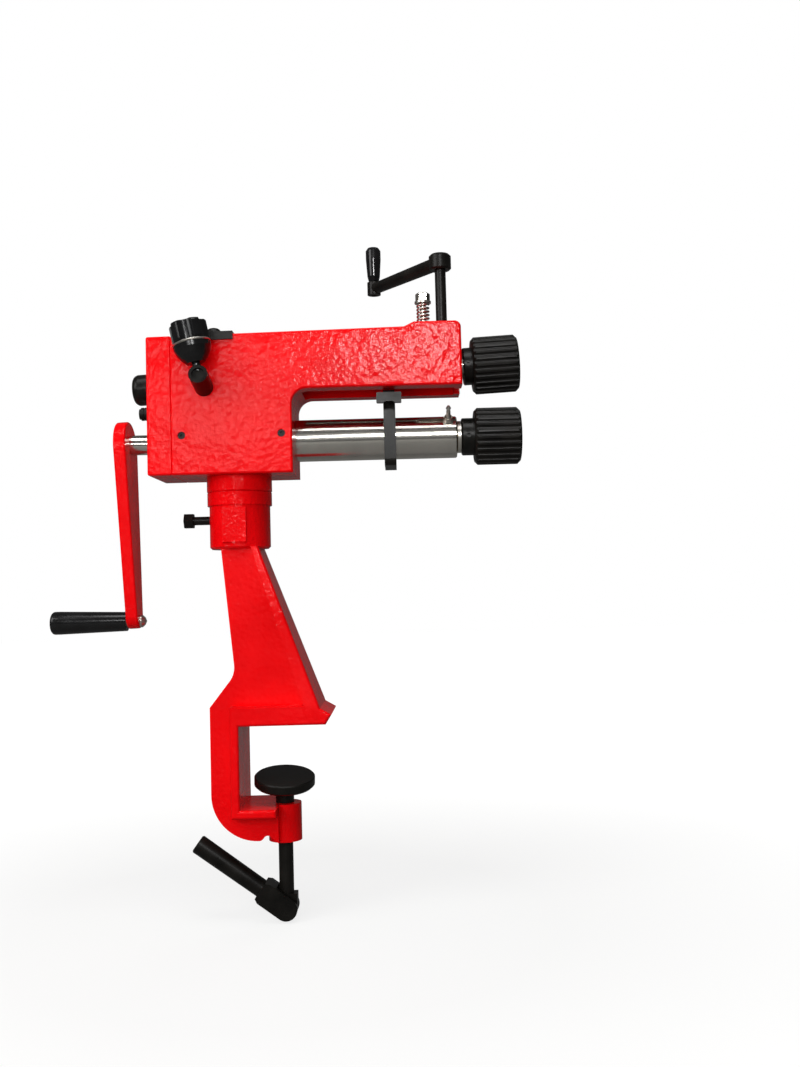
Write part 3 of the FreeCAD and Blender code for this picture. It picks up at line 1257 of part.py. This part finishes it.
def strap_screw():
    """Round head screw of the top strap."""
    body = new_body("strap_screw_body")
    base = "strap_thickness + slide_gap"
    half = outline(sketch(body, "strap_screw_half", "XZ"), [
        ("0", "-12"), ("strap_screw_radius", "-12"), ("strap_screw_radius", base), ("strap_screw_head", base),
        ("strap_screw_head", base + " + strap_screw_dome / 2.4", "strap_screw_head * 0.72"),
        ("strap_screw_radius * 0.75", base + " + strap_screw_dome"),
        ("strap_screw_radius * 0.75", base + " + strap_screw_dome - 3"), ("0", base + " + strap_screw_dome - 3")])
    revolve(body, half, "V")
    return on_head(keep(body, "strap_screw"), "strap_screw_x", "strap_screw_y", arm_top("strap_screw_x"), "Y",
                   "-atan(top_slope)")


def upper_end_cap():
    """Domed cap on the rear end of the upper shaft."""
    at = lambda text: "%s - tilt_pivot_x" % text
    return turned("upper_end_cap", [
        (at("dome_end_x"), "0"), (at("upper_tail_end_x - seat_gap"), "0"),
        (at("upper_tail_end_x - seat_gap"), "tail_radius + slide_gap"), (at("dome_start_x"), "tail_radius + slide_gap"),
        (at("dome_start_x"), "dome_radius - 0.6"), (at("dome_start_x - 0.6"), "dome_radius"),
        (at("dome_end_x + dome_round"), "dome_radius", "dome_round"),
        (at("dome_end_x"), "dome_radius - dome_round")], on_upper_shaft)


def oil_plug():
    """Ringed plug in the rear of the cover."""
    body = new_body("plug_body")
    half = [("cover_rear_x - oil_plug_length", "0"), ("cover_rear_x + cover_wall - 0.5", "0"),
            ("cover_rear_x + cover_wall - 0.5", "oil_plug_thread"), ("cover_rear_x - slide_gap", "oil_plug_thread")]
    for step in range(3):
        reach = "cover_rear_x - slide_gap - %d * oil_plug_length / 3.2" % step
        half += [(reach, "oil_plug_radius"), (reach + " - 2.4", "oil_plug_radius"),
                 (reach + " - 2.4", "oil_plug_radius - 1.2"),
                 (reach + " - oil_plug_length / 3.2", "oil_plug_radius - 1.2")]
    half[-1] = ("cover_rear_x - oil_plug_length", "oil_plug_radius - 1.2")
    revolve(body, outline(sketch(body, "plug_half", "XZ"), half), "H")
    return on_head(keep(body, "oil_plug"), "0", "oil_plug_y", "oil_plug_z")


def crank_arm():
    """Leaning crank arm, wide at the shaft and narrow at the grip."""
    body = new_body("crank_body")
    hub_z = "crank_top - crank_hub_radius"
    end_z = "crank_bottom + crank_end_radius"
    sides = outline(sketch(body, "crank_sides", "YZ"), [
        ("-crank_hub_radius", hub_z), ("-crank_end_radius", end_z), ("crank_end_radius", end_z),
        ("crank_hub_radius", hub_z)])
    pad(body, sides, "crank_thickness", True)
    pad(body, circle(sketch(body, "crank_hub", "YZ"), "0", hub_z, "crank_hub_radius"), "crank_thickness", True)
    pad(body, circle(sketch(body, "crank_end", "YZ"), "0", end_z, "crank_end_radius"), "crank_thickness", True)
    soften(body, "crank_edges", "crank_edge", lambda p: abs(abs(p.x) - value("crank_thickness") / 2) < 0.01)
    place(body, "crank_centre_x", turn="Y", angle="-crank_lean")
    shaft_bore = rod("crank_shaft_bore", "tail_radius + slide_gap", "40", "crank_centre_x - 20", "0", "0", "X")
    pin_bore = rod("crank_pin_bore", "crank_pin_radius + slide_gap", "40", "crank_centre_x - 20", "0",
                   "crank_pin_z", "X")
    screw_bore = rod("crank_screw_bore", "crank_screw_radius + slide_gap", "40", "crank_centre_x", "0", "0")
    blank = cut("crank_bored", body, joined("crank_bores", [shaft_bore, pin_bore, screw_bore]))
    return on_head(keep(blank, "crank_arm"))


def crank_set_screw():
    """Set screw through the top of the crank onto the shaft."""
    screw = rod("crank_screw", "crank_screw_radius", "crank_top - tail_radius - seat_gap - 3", "0", "0",
                "tail_radius + seat_gap")
    socket = rod("crank_screw_socket", "crank_screw_radius / 2", "3", "0", "0", "crank_top - 5.4")
    return on_head(keep(cut("crank_screw_cut", screw, socket), "crank_set_screw"), "crank_centre_x")


def crank_pin():
    """Pin of the crank grip with a shoulder and a domed end."""
    return turned("crank_pin", [
        ("crank_pin_end_x", "0"), ("crank_pin_seat_x + crank_pin_dome_height", "0"),
        ("crank_pin_seat_x + crank_pin_dome_height * 0.72", "crank_pin_dome * 0.62"),
        ("crank_pin_seat_x + crank_pin_dome_height * 0.3", "crank_pin_dome"), ("crank_pin_seat_x", "crank_pin_dome"),
        ("crank_pin_seat_x", "crank_pin_radius"), ("crank_pin_shoulder_x", "crank_pin_radius"),
        ("crank_pin_shoulder_x", "crank_pin_dome - 1"), ("grip_inner_x + seat_gap", "crank_pin_dome - 1"),
        ("grip_inner_x + seat_gap", "crank_pin_radius"), ("crank_pin_end_x", "crank_pin_radius")],
        lambda item: on_head(item, z="crank_pin_z"))


def crank_grip():
    """Turning grip, thicker towards its rounded outer end."""
    body = new_body("grip_body")
    half = outline(sketch(body, "grip_half", "XZ"), [
        ("grip_outer_x", "0"), ("crank_pin_end_x - seat_gap", "0"),
        ("crank_pin_end_x - seat_gap", "crank_pin_radius + slide_gap"),
        ("grip_inner_x", "crank_pin_radius + slide_gap"), ("grip_inner_x", "grip_inner_radius"),
        ("grip_outer_x + 8", "grip_outer_radius"), ("grip_outer_x", "grip_outer_radius")])
    revolve(body, half, "H")
    soften(body, "grip_round", "grip_outer_radius / 3",
           lambda p: near(p.x, "grip_outer_x") and math.hypot(p.y, p.z) > value("crank_pin_radius"))
    return on_head(keep(body, "crank_grip"), z="crank_pin_z")


stand_casting()
swivel_lock_bolt()
clamp_pad_cup()
clamp_pad()
clamp_screw()
clamp_handle()
clamp_handle_pin()
head_casting()
rear_cover()
cover_screws()
bearing_grub_screws()
lower_tube()
grease_nipple()
ring("lower_rear_bush", "seam_x", "lower_rear_bush_end_x", "bush_bore", "lower_rear_bush_radius")
ring("lower_front_bush", "tube_end_x - front_bush_length", "tube_end_x", "bush_bore", "tube_bore - slide_gap")
ring("lower_thrust_washer", "tube_end_x + seat_gap", "tube_end_x + seat_gap + washer_thickness",
     "bush_bore", "washer_radius")
for level, tail, finish, origin in (("lower", "lower_tail_end_x", on_head, "0"),
                                    ("upper", "upper_tail_end_x", on_upper_shaft, "tilt_pivot_x")):
    hub = level + "_hub_start_x"
    shaft(level + "_shaft", tail, hub, finish, origin)
    gear(level + "_gear", finish, origin)
    key(level + "_gear_key", finish, origin)
    roll(level + "_roll", hub, finish, origin)
    roll_set_screw(level + "_roll_screw", hub, finish, origin)
upper_rear_bush()
upper_front_bush()
bearing_block()
spring_bolt()
spring_washer()
return_spring()
feed_screw()
feed_crank_arm()
feed_grip()
feed_grip_pin()
work_stop()
wing_screw()
lock_post()
lock_knob()
knob_ring()
top_strap()
strap_screw()
upper_end_cap()
oil_plug()
crank_arm()
crank_set_screw()
crank_pin()
crank_grip()

doc.recompute()
for item in doc.Objects:
    if "Invalid" in item.State or "Error" in item.State:
        raise ValueError("%s failed: %s" % (item.Name, item.State))
for item in PIECES:
    if item.Shape.isNull() or not item.Shape.isValid() or not item.Shape.Solids:
        raise ValueError("bad shape in " + item.Label)
os.makedirs("parts", exist_ok=True)
for item in PIECES:
    item.Shape.exportStep("parts/%s.step" % item.Label)
print("%d pieces written" % len(PIECES))
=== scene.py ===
import math

import bpy
import numpy as np
from mathutils import Matrix, Vector


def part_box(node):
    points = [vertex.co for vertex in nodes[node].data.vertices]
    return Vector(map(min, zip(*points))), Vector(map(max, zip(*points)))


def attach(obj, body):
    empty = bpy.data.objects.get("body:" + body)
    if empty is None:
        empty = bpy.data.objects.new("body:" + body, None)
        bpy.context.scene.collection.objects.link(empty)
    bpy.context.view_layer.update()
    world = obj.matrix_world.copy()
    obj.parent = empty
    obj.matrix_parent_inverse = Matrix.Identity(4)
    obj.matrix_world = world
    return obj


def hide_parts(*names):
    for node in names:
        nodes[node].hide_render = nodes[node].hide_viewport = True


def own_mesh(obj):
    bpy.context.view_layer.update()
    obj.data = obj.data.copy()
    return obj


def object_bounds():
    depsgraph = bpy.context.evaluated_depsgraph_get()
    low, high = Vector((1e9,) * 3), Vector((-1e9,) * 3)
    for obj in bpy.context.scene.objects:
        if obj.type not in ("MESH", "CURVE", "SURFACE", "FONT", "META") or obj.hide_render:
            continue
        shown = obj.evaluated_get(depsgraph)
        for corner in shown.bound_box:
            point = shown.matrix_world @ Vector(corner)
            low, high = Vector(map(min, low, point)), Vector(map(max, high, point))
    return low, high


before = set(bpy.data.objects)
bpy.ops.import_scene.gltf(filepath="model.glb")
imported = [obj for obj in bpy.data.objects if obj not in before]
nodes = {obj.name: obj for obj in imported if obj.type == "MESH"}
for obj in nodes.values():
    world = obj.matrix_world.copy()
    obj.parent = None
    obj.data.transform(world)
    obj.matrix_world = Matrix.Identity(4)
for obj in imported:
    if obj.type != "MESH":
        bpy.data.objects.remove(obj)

cad_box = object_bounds()


# Stand and head castings
# Grey iron castings with a thick red stoving enamel. The sand mould leaves an orange peel surface
# under the paint, and the paint gathers slightly unevenly, so its gloss changes from place to place.

def add(tree, kind, settings=(), **inputs):
    """A shader node with its own settings. Inputs go by socket name with underscores, or by a, b, c for
    the first three, and are numbers, colours or sockets."""
    node = tree.nodes.new("ShaderNode" + kind)
    for key, value in dict(settings).items():
        setattr(node, key, value)
    for key, value in inputs.items():
        socket = node.inputs["abc".index(key)] if key in "abc" else node.inputs[key.replace("_", " ")]
        if isinstance(value, bpy.types.NodeSocket):
            tree.links.new(value, socket)
        else:
            socket.default_value = value
    return node


def new_material(name, **sockets):
    """A material with one Principled shader, its fixed values set there, and its object coordinates."""
    material = bpy.data.materials.new(name)
    material.use_nodes = True
    tree = material.node_tree
    shader = tree.nodes["Principled BSDF"]
    for key, value in sockets.items():
        shader.inputs[key.replace("_", " ")].default_value = value
    place = add(tree, "TexCoord").outputs["Object"]
    return material, tree, shader, place


def dress(material, *names):
    """Give CAD nodes one material on all their slots."""
    for name in names:
        mesh = nodes[name].data
        mesh.materials.clear()
        mesh.materials.append(material)


def new_group(name, inputs, outputs):
    """An empty node group with named inputs (name, kind, start value) and outputs (name, kind)."""
    group = bpy.data.node_groups.new(name, "ShaderNodeTree")
    for label, kind, start in inputs:
        socket = group.interface.new_socket(label, in_out="INPUT", socket_type="NodeSocket" + kind)
        if start is not None:
            socket.default_value = start
    for label, kind in outputs:
        group.interface.new_socket(label, in_out="OUTPUT", socket_type="NodeSocket" + kind)
    return group, group.nodes.new("NodeGroupInput").outputs, group.nodes.new("NodeGroupOutput").inputs


def use(tree, group, **inputs):
    """Place a node group in a material."""
    return add(tree, "Group", {"node_tree": group}, **inputs).outputs


# Soft uneven patches of paint, oil film and handling, from one broad noise with its contrast raised.
mottle, given, made = new_group("surface_mottle", [
    ("Vector", "Vector", None), ("Scale", "Float", 20.0), ("Contrast", "Float", 1.0)], [("Mask", "Float")])
broad = add(mottle, "TexNoise", Vector=given["Vector"], Scale=given["Scale"], Detail=3.0, Roughness=0.55)
spread = add(mottle, "Math", {"operation": "SUBTRACT"}, a=broad.outputs["Fac"], b=0.5)
pushed = add(mottle, "Math", {"operation": "MULTIPLY"}, a=spread.outputs[0], b=given["Contrast"])
level = add(mottle, "Math", {"operation": "ADD", "use_clamp": True}, a=pushed.outputs[0], b=0.5)
mottle.links.new(level.outputs[0], made["Mask"])

red_enamel, tree, shader, place = new_material("red_enamel", Specular_IOR_Level=0.09)
patches = use(tree, mottle, Vector=place, Scale=14.0, Contrast=2.2)["Mask"]
tone = add(tree, "MixRGB", Fac=patches, Color1=(0.72, 0.0012, 0.0026, 1), Color2=(0.90, 0.0022, 0.0045, 1))
tree.links.new(tone.outputs[0], shader.inputs["Base Color"])
gloss = add(tree, "MapRange", Value=patches, To_Min=0.10, To_Max=0.17)
tree.links.new(gloss.outputs[0], shader.inputs["Roughness"])
peel = add(tree, "TexNoise", Vector=place, Scale=330.0, Detail=2.0, Roughness=0.5)
sand = add(tree, "TexVoronoi", {"feature": "SMOOTH_F1"}, Vector=place, Scale=210.0, Smoothness=0.7)
skin = add(tree, "Math", {"operation": "ADD"}, a=peel.outputs["Fac"], b=sand.outputs["Distance"])
swell = add(tree, "TexNoise", Vector=place, Scale=38.0, Detail=1.5)
fine = add(tree, "Bump", Strength=0.30, Distance=0.0010, Height=skin.outputs[0])
wavy = add(tree, "Bump", Strength=0.24, Distance=0.0040, Height=swell.outputs["Fac"],
           Normal=fine.outputs[0])
tree.links.new(wavy.outputs[0], shader.inputs["Normal"])
dress(red_enamel, "stand_casting", "head_casting", "rear_cover", "crank_arm")


# Black steel pieces
# Turned and stamped carbon steel with a black oxide finish, oiled, so it is near black with a soft
# sheen and slightly browner where the oil has thinned.

black_steel, tree, shader, place = new_material("black_steel", Specular_IOR_Level=0.18)
film = use(tree, mottle, Vector=place, Scale=60.0, Contrast=2.0)["Mask"]
tone = add(tree, "MixRGB", Fac=film, Color1=(0.0030, 0.0028, 0.0024, 1), Color2=(0.010, 0.0088, 0.0072, 1))
tree.links.new(tone.outputs[0], shader.inputs["Base Color"])
gloss = add(tree, "MapRange", Value=film, To_Min=0.26, To_Max=0.42)
tree.links.new(gloss.outputs[0], shader.inputs["Roughness"])
marks = add(tree, "TexNoise", Vector=place, Scale=900.0, Detail=3.0)
bump = add(tree, "Bump", Strength=0.10, Distance=0.0004, Height=marks.outputs["Fac"])
tree.links.new(bump.outputs[0], shader.inputs["Normal"])
dress(black_steel, "swivel_lock_bolt", "clamp_pad_cup", "clamp_pad", "clamp_screw", "clamp_handle",
      "clamp_handle_pin", "cover_screws", "bearing_grub_screws", "top_strap", "wing_screw", "lower_roll",
      "upper_roll", "lower_roll_screw", "upper_roll_screw", "work_stop", "feed_screw", "feed_crank_arm",
      "feed_grip_pin", "lock_post", "strap_screw", "upper_end_cap", "oil_plug", "crank_set_screw")


# Bright steel pieces
# Ground and turned steel left bare and oiled: the tube over the lower shaft, both shafts and the gears.
# The lift bolt, washers, nipple, crank pin, block and bush are duller. The tool's marks run round the axis.

turned, given, made = new_group("turning_marks", [("Vector", "Vector", None), ("Scale", "Float", 4000.0)],
                                [("Height", "Float")])
parts = add(turned, "SeparateXYZ", a=given["Vector"])
radius = add(turned, "VectorMath", {"operation": "LENGTH"},
             a=add(turned, "CombineXYZ", b=parts.outputs["Y"], c=parts.outputs["Z"]).outputs[0])
rings = add(turned, "CombineXYZ", a=parts.outputs["X"], b=radius.outputs["Value"])
cuts = add(turned, "TexNoise", Vector=rings.outputs[0], Scale=given["Scale"], Detail=2.0)
turned.links.new(cuts.outputs["Fac"], made["Height"])


def bright_steel(name, axis_point, axis, colour, roughness, marks):
    """Bare steel with turning marks round an axis that runs through a point, in metres."""
    material, tree, shader, place = new_material(name, Metallic=1.0)
    turn = Vector((1, 0, 0)).rotation_difference(Vector(axis)).inverted()
    centre = -(turn @ Vector(axis_point))
    seen = add(tree, "Mapping", Vector=place, Rotation=turn.to_euler()[:], Location=centre[:])
    cuts = use(tree, turned, Vector=seen.outputs[0], Scale=marks)["Height"]
    stain = use(tree, mottle, Vector=place, Scale=45.0, Contrast=1.6)["Mask"]
    dull = tuple(0.82 * c for c in colour[:3]) + (1,)
    tone = add(tree, "MixRGB", Fac=stain, Color1=dull, Color2=colour)
    tree.links.new(tone.outputs[0], shader.inputs["Base Color"])
    gloss = add(tree, "MapRange", Value=cuts, To_Min=roughness * 0.8, To_Max=roughness * 1.3)
    tree.links.new(gloss.outputs[0], shader.inputs["Roughness"])
    bump = add(tree, "Bump", Strength=0.06, Distance=0.0002, Height=cuts)
    tree.links.new(bump.outputs[0], shader.inputs["Normal"])
    return material


lower_shaft_point = (0, 0, 0.261)
lift_bolt_point = (0.1402, 0, 0.4)
along_x, along_z = (1, 0, 0), (0, 0, 1)
ground_steel = bright_steel("ground_steel", lower_shaft_point, along_x, (0.72, 0.69, 0.63, 1), 0.16, 2600.0)
dress(ground_steel, "lower_tube", "lower_shaft", "lower_gear", "lower_gear_key", "upper_shaft", "upper_gear",
      "upper_gear_key")
plain_steel = bright_steel("plain_steel", lift_bolt_point, along_z, (0.66, 0.63, 0.57, 1), 0.28, 1500.0)
dress(plain_steel, "spring_bolt", "spring_washer", "grease_nipple", "crank_pin",
      "bearing_block", "knob_ring", "lower_thrust_washer", "upper_front_bush")


# Return spring
# Wound from hard drawn zinc plated wire and slipped over the lift bolt. It pushes the block up, so it
# shortens between the arm and the washer as the pressure screw goes down.

def coil(name, centre, radius, low, high, wire, turns):
    """A helix of round wire: the centre line turns at a steady radius and climbs evenly from low to high.
    The surface lies one wire radius from it, in the plane of the outward direction and the one square to
    both that and the line."""
    steps_per_turn, ring = 40, 16
    rows = steps_per_turn * turns + 1
    climb = np.linspace(0.0, 1.0, rows)[:, None, None]
    angle = 2 * np.pi * turns * climb
    outward = np.concatenate([np.cos(angle), np.sin(angle), np.zeros_like(angle)], axis=2)
    line = np.array(centre) + radius * outward + climb * np.array([0, 0, high - low])
    along = np.concatenate([-radius * np.sin(angle), radius * np.cos(angle),
                            np.full_like(angle, (high - low) / (2 * np.pi * turns))], axis=2)
    along /= np.linalg.norm(along, axis=2, keepdims=True)
    across = np.cross(along, outward)
    around = np.linspace(0.0, 2 * np.pi, ring, endpoint=False)[None, :, None]
    points = line + wire * (np.cos(around) * outward + np.sin(around) * across)
    row, column = np.meshgrid(np.arange(rows - 1), np.arange(ring), indexing="ij")
    beside = (column + 1) % ring
    faces = np.stack([row * ring + column, row * ring + beside, (row + 1) * ring + beside,
                      (row + 1) * ring + column], axis=2).reshape(-1, 4).tolist()
    last = (rows - 1) * ring
    ends = [list(range(ring))[::-1], list(range(last, last + ring))]
    mesh = bpy.data.meshes.new(name)
    mesh.from_pydata(points.reshape(-1, 3).tolist(), [], faces + ends)
    mesh.polygons.foreach_set("use_smooth", np.ones(len(mesh.polygons), bool))
    mesh.update()
    piece = bpy.data.objects.new(name, mesh)
    bpy.context.scene.collection.objects.link(piece)
    return piece


spring_low, spring_high = (Vector(corner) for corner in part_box("return_spring"))
spring_wire = 0.0009
spring_turns = 7
spring_middle = (spring_low + spring_high) / 2
spring_foot = (spring_middle.x, spring_middle.y, spring_low.z + spring_wire)
spring_radius = (spring_high.x - spring_low.x) / 2 - spring_wire
lift_spring = coil("lift_spring", spring_foot, spring_radius, spring_low.z + spring_wire,
                   spring_high.z - spring_wire, spring_wire, spring_turns)
lift_spring.data.materials.append(plain_steel)
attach(lift_spring, "head")
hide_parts("return_spring")
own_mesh(lift_spring)


# Bearing bushes
# Cast bronze sleeves, turned and reamed, pressed into the head and the tube.

bronze = bright_steel("bearing_bronze", lower_shaft_point, along_x, (0.55, 0.38, 0.16, 1), 0.32, 1800.0)
dress(bronze, "lower_rear_bush", "lower_front_bush", "upper_rear_bush")


# Grips and star knob
# Compression moulded phenolic plastic: deep black with a glassy skin.

black_plastic, tree, shader, place = new_material("black_plastic", Specular_IOR_Level=0.35)
haze = use(tree, mottle, Vector=place, Scale=80.0, Contrast=1.5)["Mask"]
tone = add(tree, "MixRGB", Fac=haze, Color1=(0.0035, 0.0035, 0.0035, 1), Color2=(0.008, 0.008, 0.0085, 1))
tree.links.new(tone.outputs[0], shader.inputs["Base Color"])
gloss = add(tree, "MapRange", Value=haze, To_Min=0.12, To_Max=0.24)
tree.links.new(gloss.outputs[0], shader.inputs["Roughness"])
ripple = add(tree, "TexNoise", Vector=place, Scale=160.0, Detail=1.0)
bump = add(tree, "Bump", Strength=0.05, Distance=0.001, Height=ripple.outputs["Fac"])
tree.links.new(bump.outputs[0], shader.inputs["Normal"])
dress(black_plastic, "crank_grip", "feed_grip", "lock_knob")


# Floor, lamps and camera
# A plain pale floor under the lowest point of the handle and a white surround. Four large soft lamps light
# the machine, three small ones only show as glare on the paint, and the camera is level with the stand.

floor_gap = 0.002
floor_height = cad_box[0].z - floor_gap
floor_reach = 6.0
corners = [(-floor_reach, -floor_reach, floor_height), (floor_reach, -floor_reach, floor_height),
           (floor_reach, floor_reach, floor_height), (-floor_reach, floor_reach, floor_height)]
floor_mesh = bpy.data.meshes.new("floor")
floor_mesh.from_pydata(corners, [], [(0, 1, 2, 3)])
floor = bpy.data.objects.new("floor", floor_mesh)
bpy.context.scene.collection.objects.link(floor)

paper = bpy.data.materials.new("pale_floor")
paper.use_nodes = True
tree = paper.node_tree
tree.nodes.clear()
rays = add(tree, "LightPath").outputs
mirror_share = 0.07
mirrored = add(tree, "Math", {"operation": "MULTIPLY"}, a=rays["Is Glossy Ray"], b=mirror_share)
looked_at = add(tree, "Math", {"operation": "ADD"}, a=rays["Is Camera Ray"], b=mirrored.outputs[0])
looked_at = add(tree, "Math", {"operation": "ADD", "use_clamp": True}, a=looked_at.outputs[0],
                b=rays["Is Transmission Ray"])
floor_place = add(tree, "TexCoord").outputs["Object"]
centre = add(tree, "Mapping", Vector=floor_place, Location=(0, 0, -floor_height))
far = add(tree, "VectorMath", {"operation": "LENGTH"}, a=centre.outputs[0])
fade = add(tree, "MapRange", Value=far.outputs["Value"], From_Min=0.25, From_Max=0.95, To_Min=0.80,
           To_Max=1.0)
glow = add(tree, "Math", {"operation": "MULTIPLY"}, a=looked_at.outputs[0], b=fade.outputs[0])
matte = add(tree, "BsdfDiffuse", Color=(0.17, 0.17, 0.165, 1))
light = add(tree, "Emission", Color=(1, 1, 1, 1), Strength=glow.outputs[0])
both = add(tree, "AddShader", a=matte.outputs[0], b=light.outputs[0])
add(tree, "OutputMaterial", Surface=both.outputs[0])
floor_mesh.materials.append(paper)

world = bpy.data.worlds.new("surround")
bpy.context.scene.world = world
world.use_nodes = True
tree = world.node_tree
tree.nodes.clear()
rays = add(tree, "LightPath").outputs
seen = add(tree, "Math", {"operation": "MAXIMUM"}, a=rays["Is Camera Ray"], b=rays["Is Transmission Ray"])
body_light, mirror_light = 0.06, 0.05
shown = add(tree, "Math", {"operation": "MULTIPLY_ADD"}, a=rays["Is Glossy Ray"], b=mirror_light,
            c=body_light)
dim = add(tree, "Background", Color=(1, 1, 1, 1), Strength=shown.outputs[0])
white = add(tree, "Background", Color=(1, 1, 1, 1), Strength=1.0)
mixed = add(tree, "MixShader", a=seen.outputs[0], b=dim.outputs[0], c=white.outputs[0])
add(tree, "OutputWorld", Surface=mixed.outputs[0])


def soft_lamp(name, spot, aim, wide, tall, watts, sheen=True, body=True):
    """A rectangular lamp at a spot, facing a point, both in metres. It may leave out sheen or body light."""
    data = bpy.data.lights.new(name, "AREA")
    data.shape = "RECTANGLE"
    data.size, data.size_y, data.energy = wide, tall, watts
    lamp = bpy.data.objects.new(name, data)
    facing = (Vector(spot) - Vector(aim)).to_track_quat("Z", "Y")
    lamp.matrix_world = Matrix.Translation(spot) @ facing.to_matrix().to_4x4()
    lamp.visible_glossy = sheen
    lamp.visible_diffuse = body
    bpy.context.scene.collection.objects.link(lamp)


soft_lamp("left_lamp", (-1.0, -0.8, 0.85), (0.0, 0.0, 0.1), 0.7, 0.9, 9.5)
soft_lamp("front_fill", (-0.15, -1.6, 0.35), (0.0, 0.0, 0.08), 1.2, 1.0, 16.0, sheen=False)
soft_lamp("rear_fill", (0.5, 1.6, 0.7), (0.0, 0.0, 0.1), 1.2, 1.0, 8.0, sheen=False)
soft_lamp("top_lamp", (0.05, -0.45, 1.30), (0.05, 0.0, 0.2), 1.0, 0.5, 9.0)
soft_lamp("arm_glare", (0.165, -1.2, 0.595), (0.12, 0.0, 0.33), 0.16, 0.09, 5.5, body=False)
soft_lamp("head_glare", (-0.26, -1.2, 0.47), (-0.06, 0.0, 0.28), 0.30, 0.12, 1.7, body=False)
soft_lamp("middle_glare", (0.0, -1.2, 0.56), (0.04, 0.0, 0.31), 0.20, 0.06, 0.35, body=False)

camera_data = bpy.data.cameras.new("camera")
picture_height = 1067
focal_pixels = 1100
camera_data.sensor_fit = "VERTICAL"
camera_data.sensor_height = 36
camera_data.lens = focal_pixels / picture_height * camera_data.sensor_height
camera = bpy.data.objects.new("camera", camera_data)
pitch, roll = math.radians(2.7), math.radians(-1.5)
ahead = Vector((0, math.cos(pitch), math.sin(pitch)))
level_right = Vector((1, 0, 0))
level_up = level_right.cross(ahead)
right = math.cos(roll) * level_right + math.sin(roll) * level_up
up = math.cos(roll) * level_up - math.sin(roll) * level_right
camera_spot = (0.113, -1.030, 0.123)
camera_turn = Matrix((right, up, -ahead)).transposed().to_4x4()
camera.matrix_world = Matrix.Translation(camera_spot) @ camera_turn
bpy.context.scene.collection.objects.link(camera)
bpy.context.scene.camera = camera
bpy.context.scene.view_settings.view_transform = "Standard"
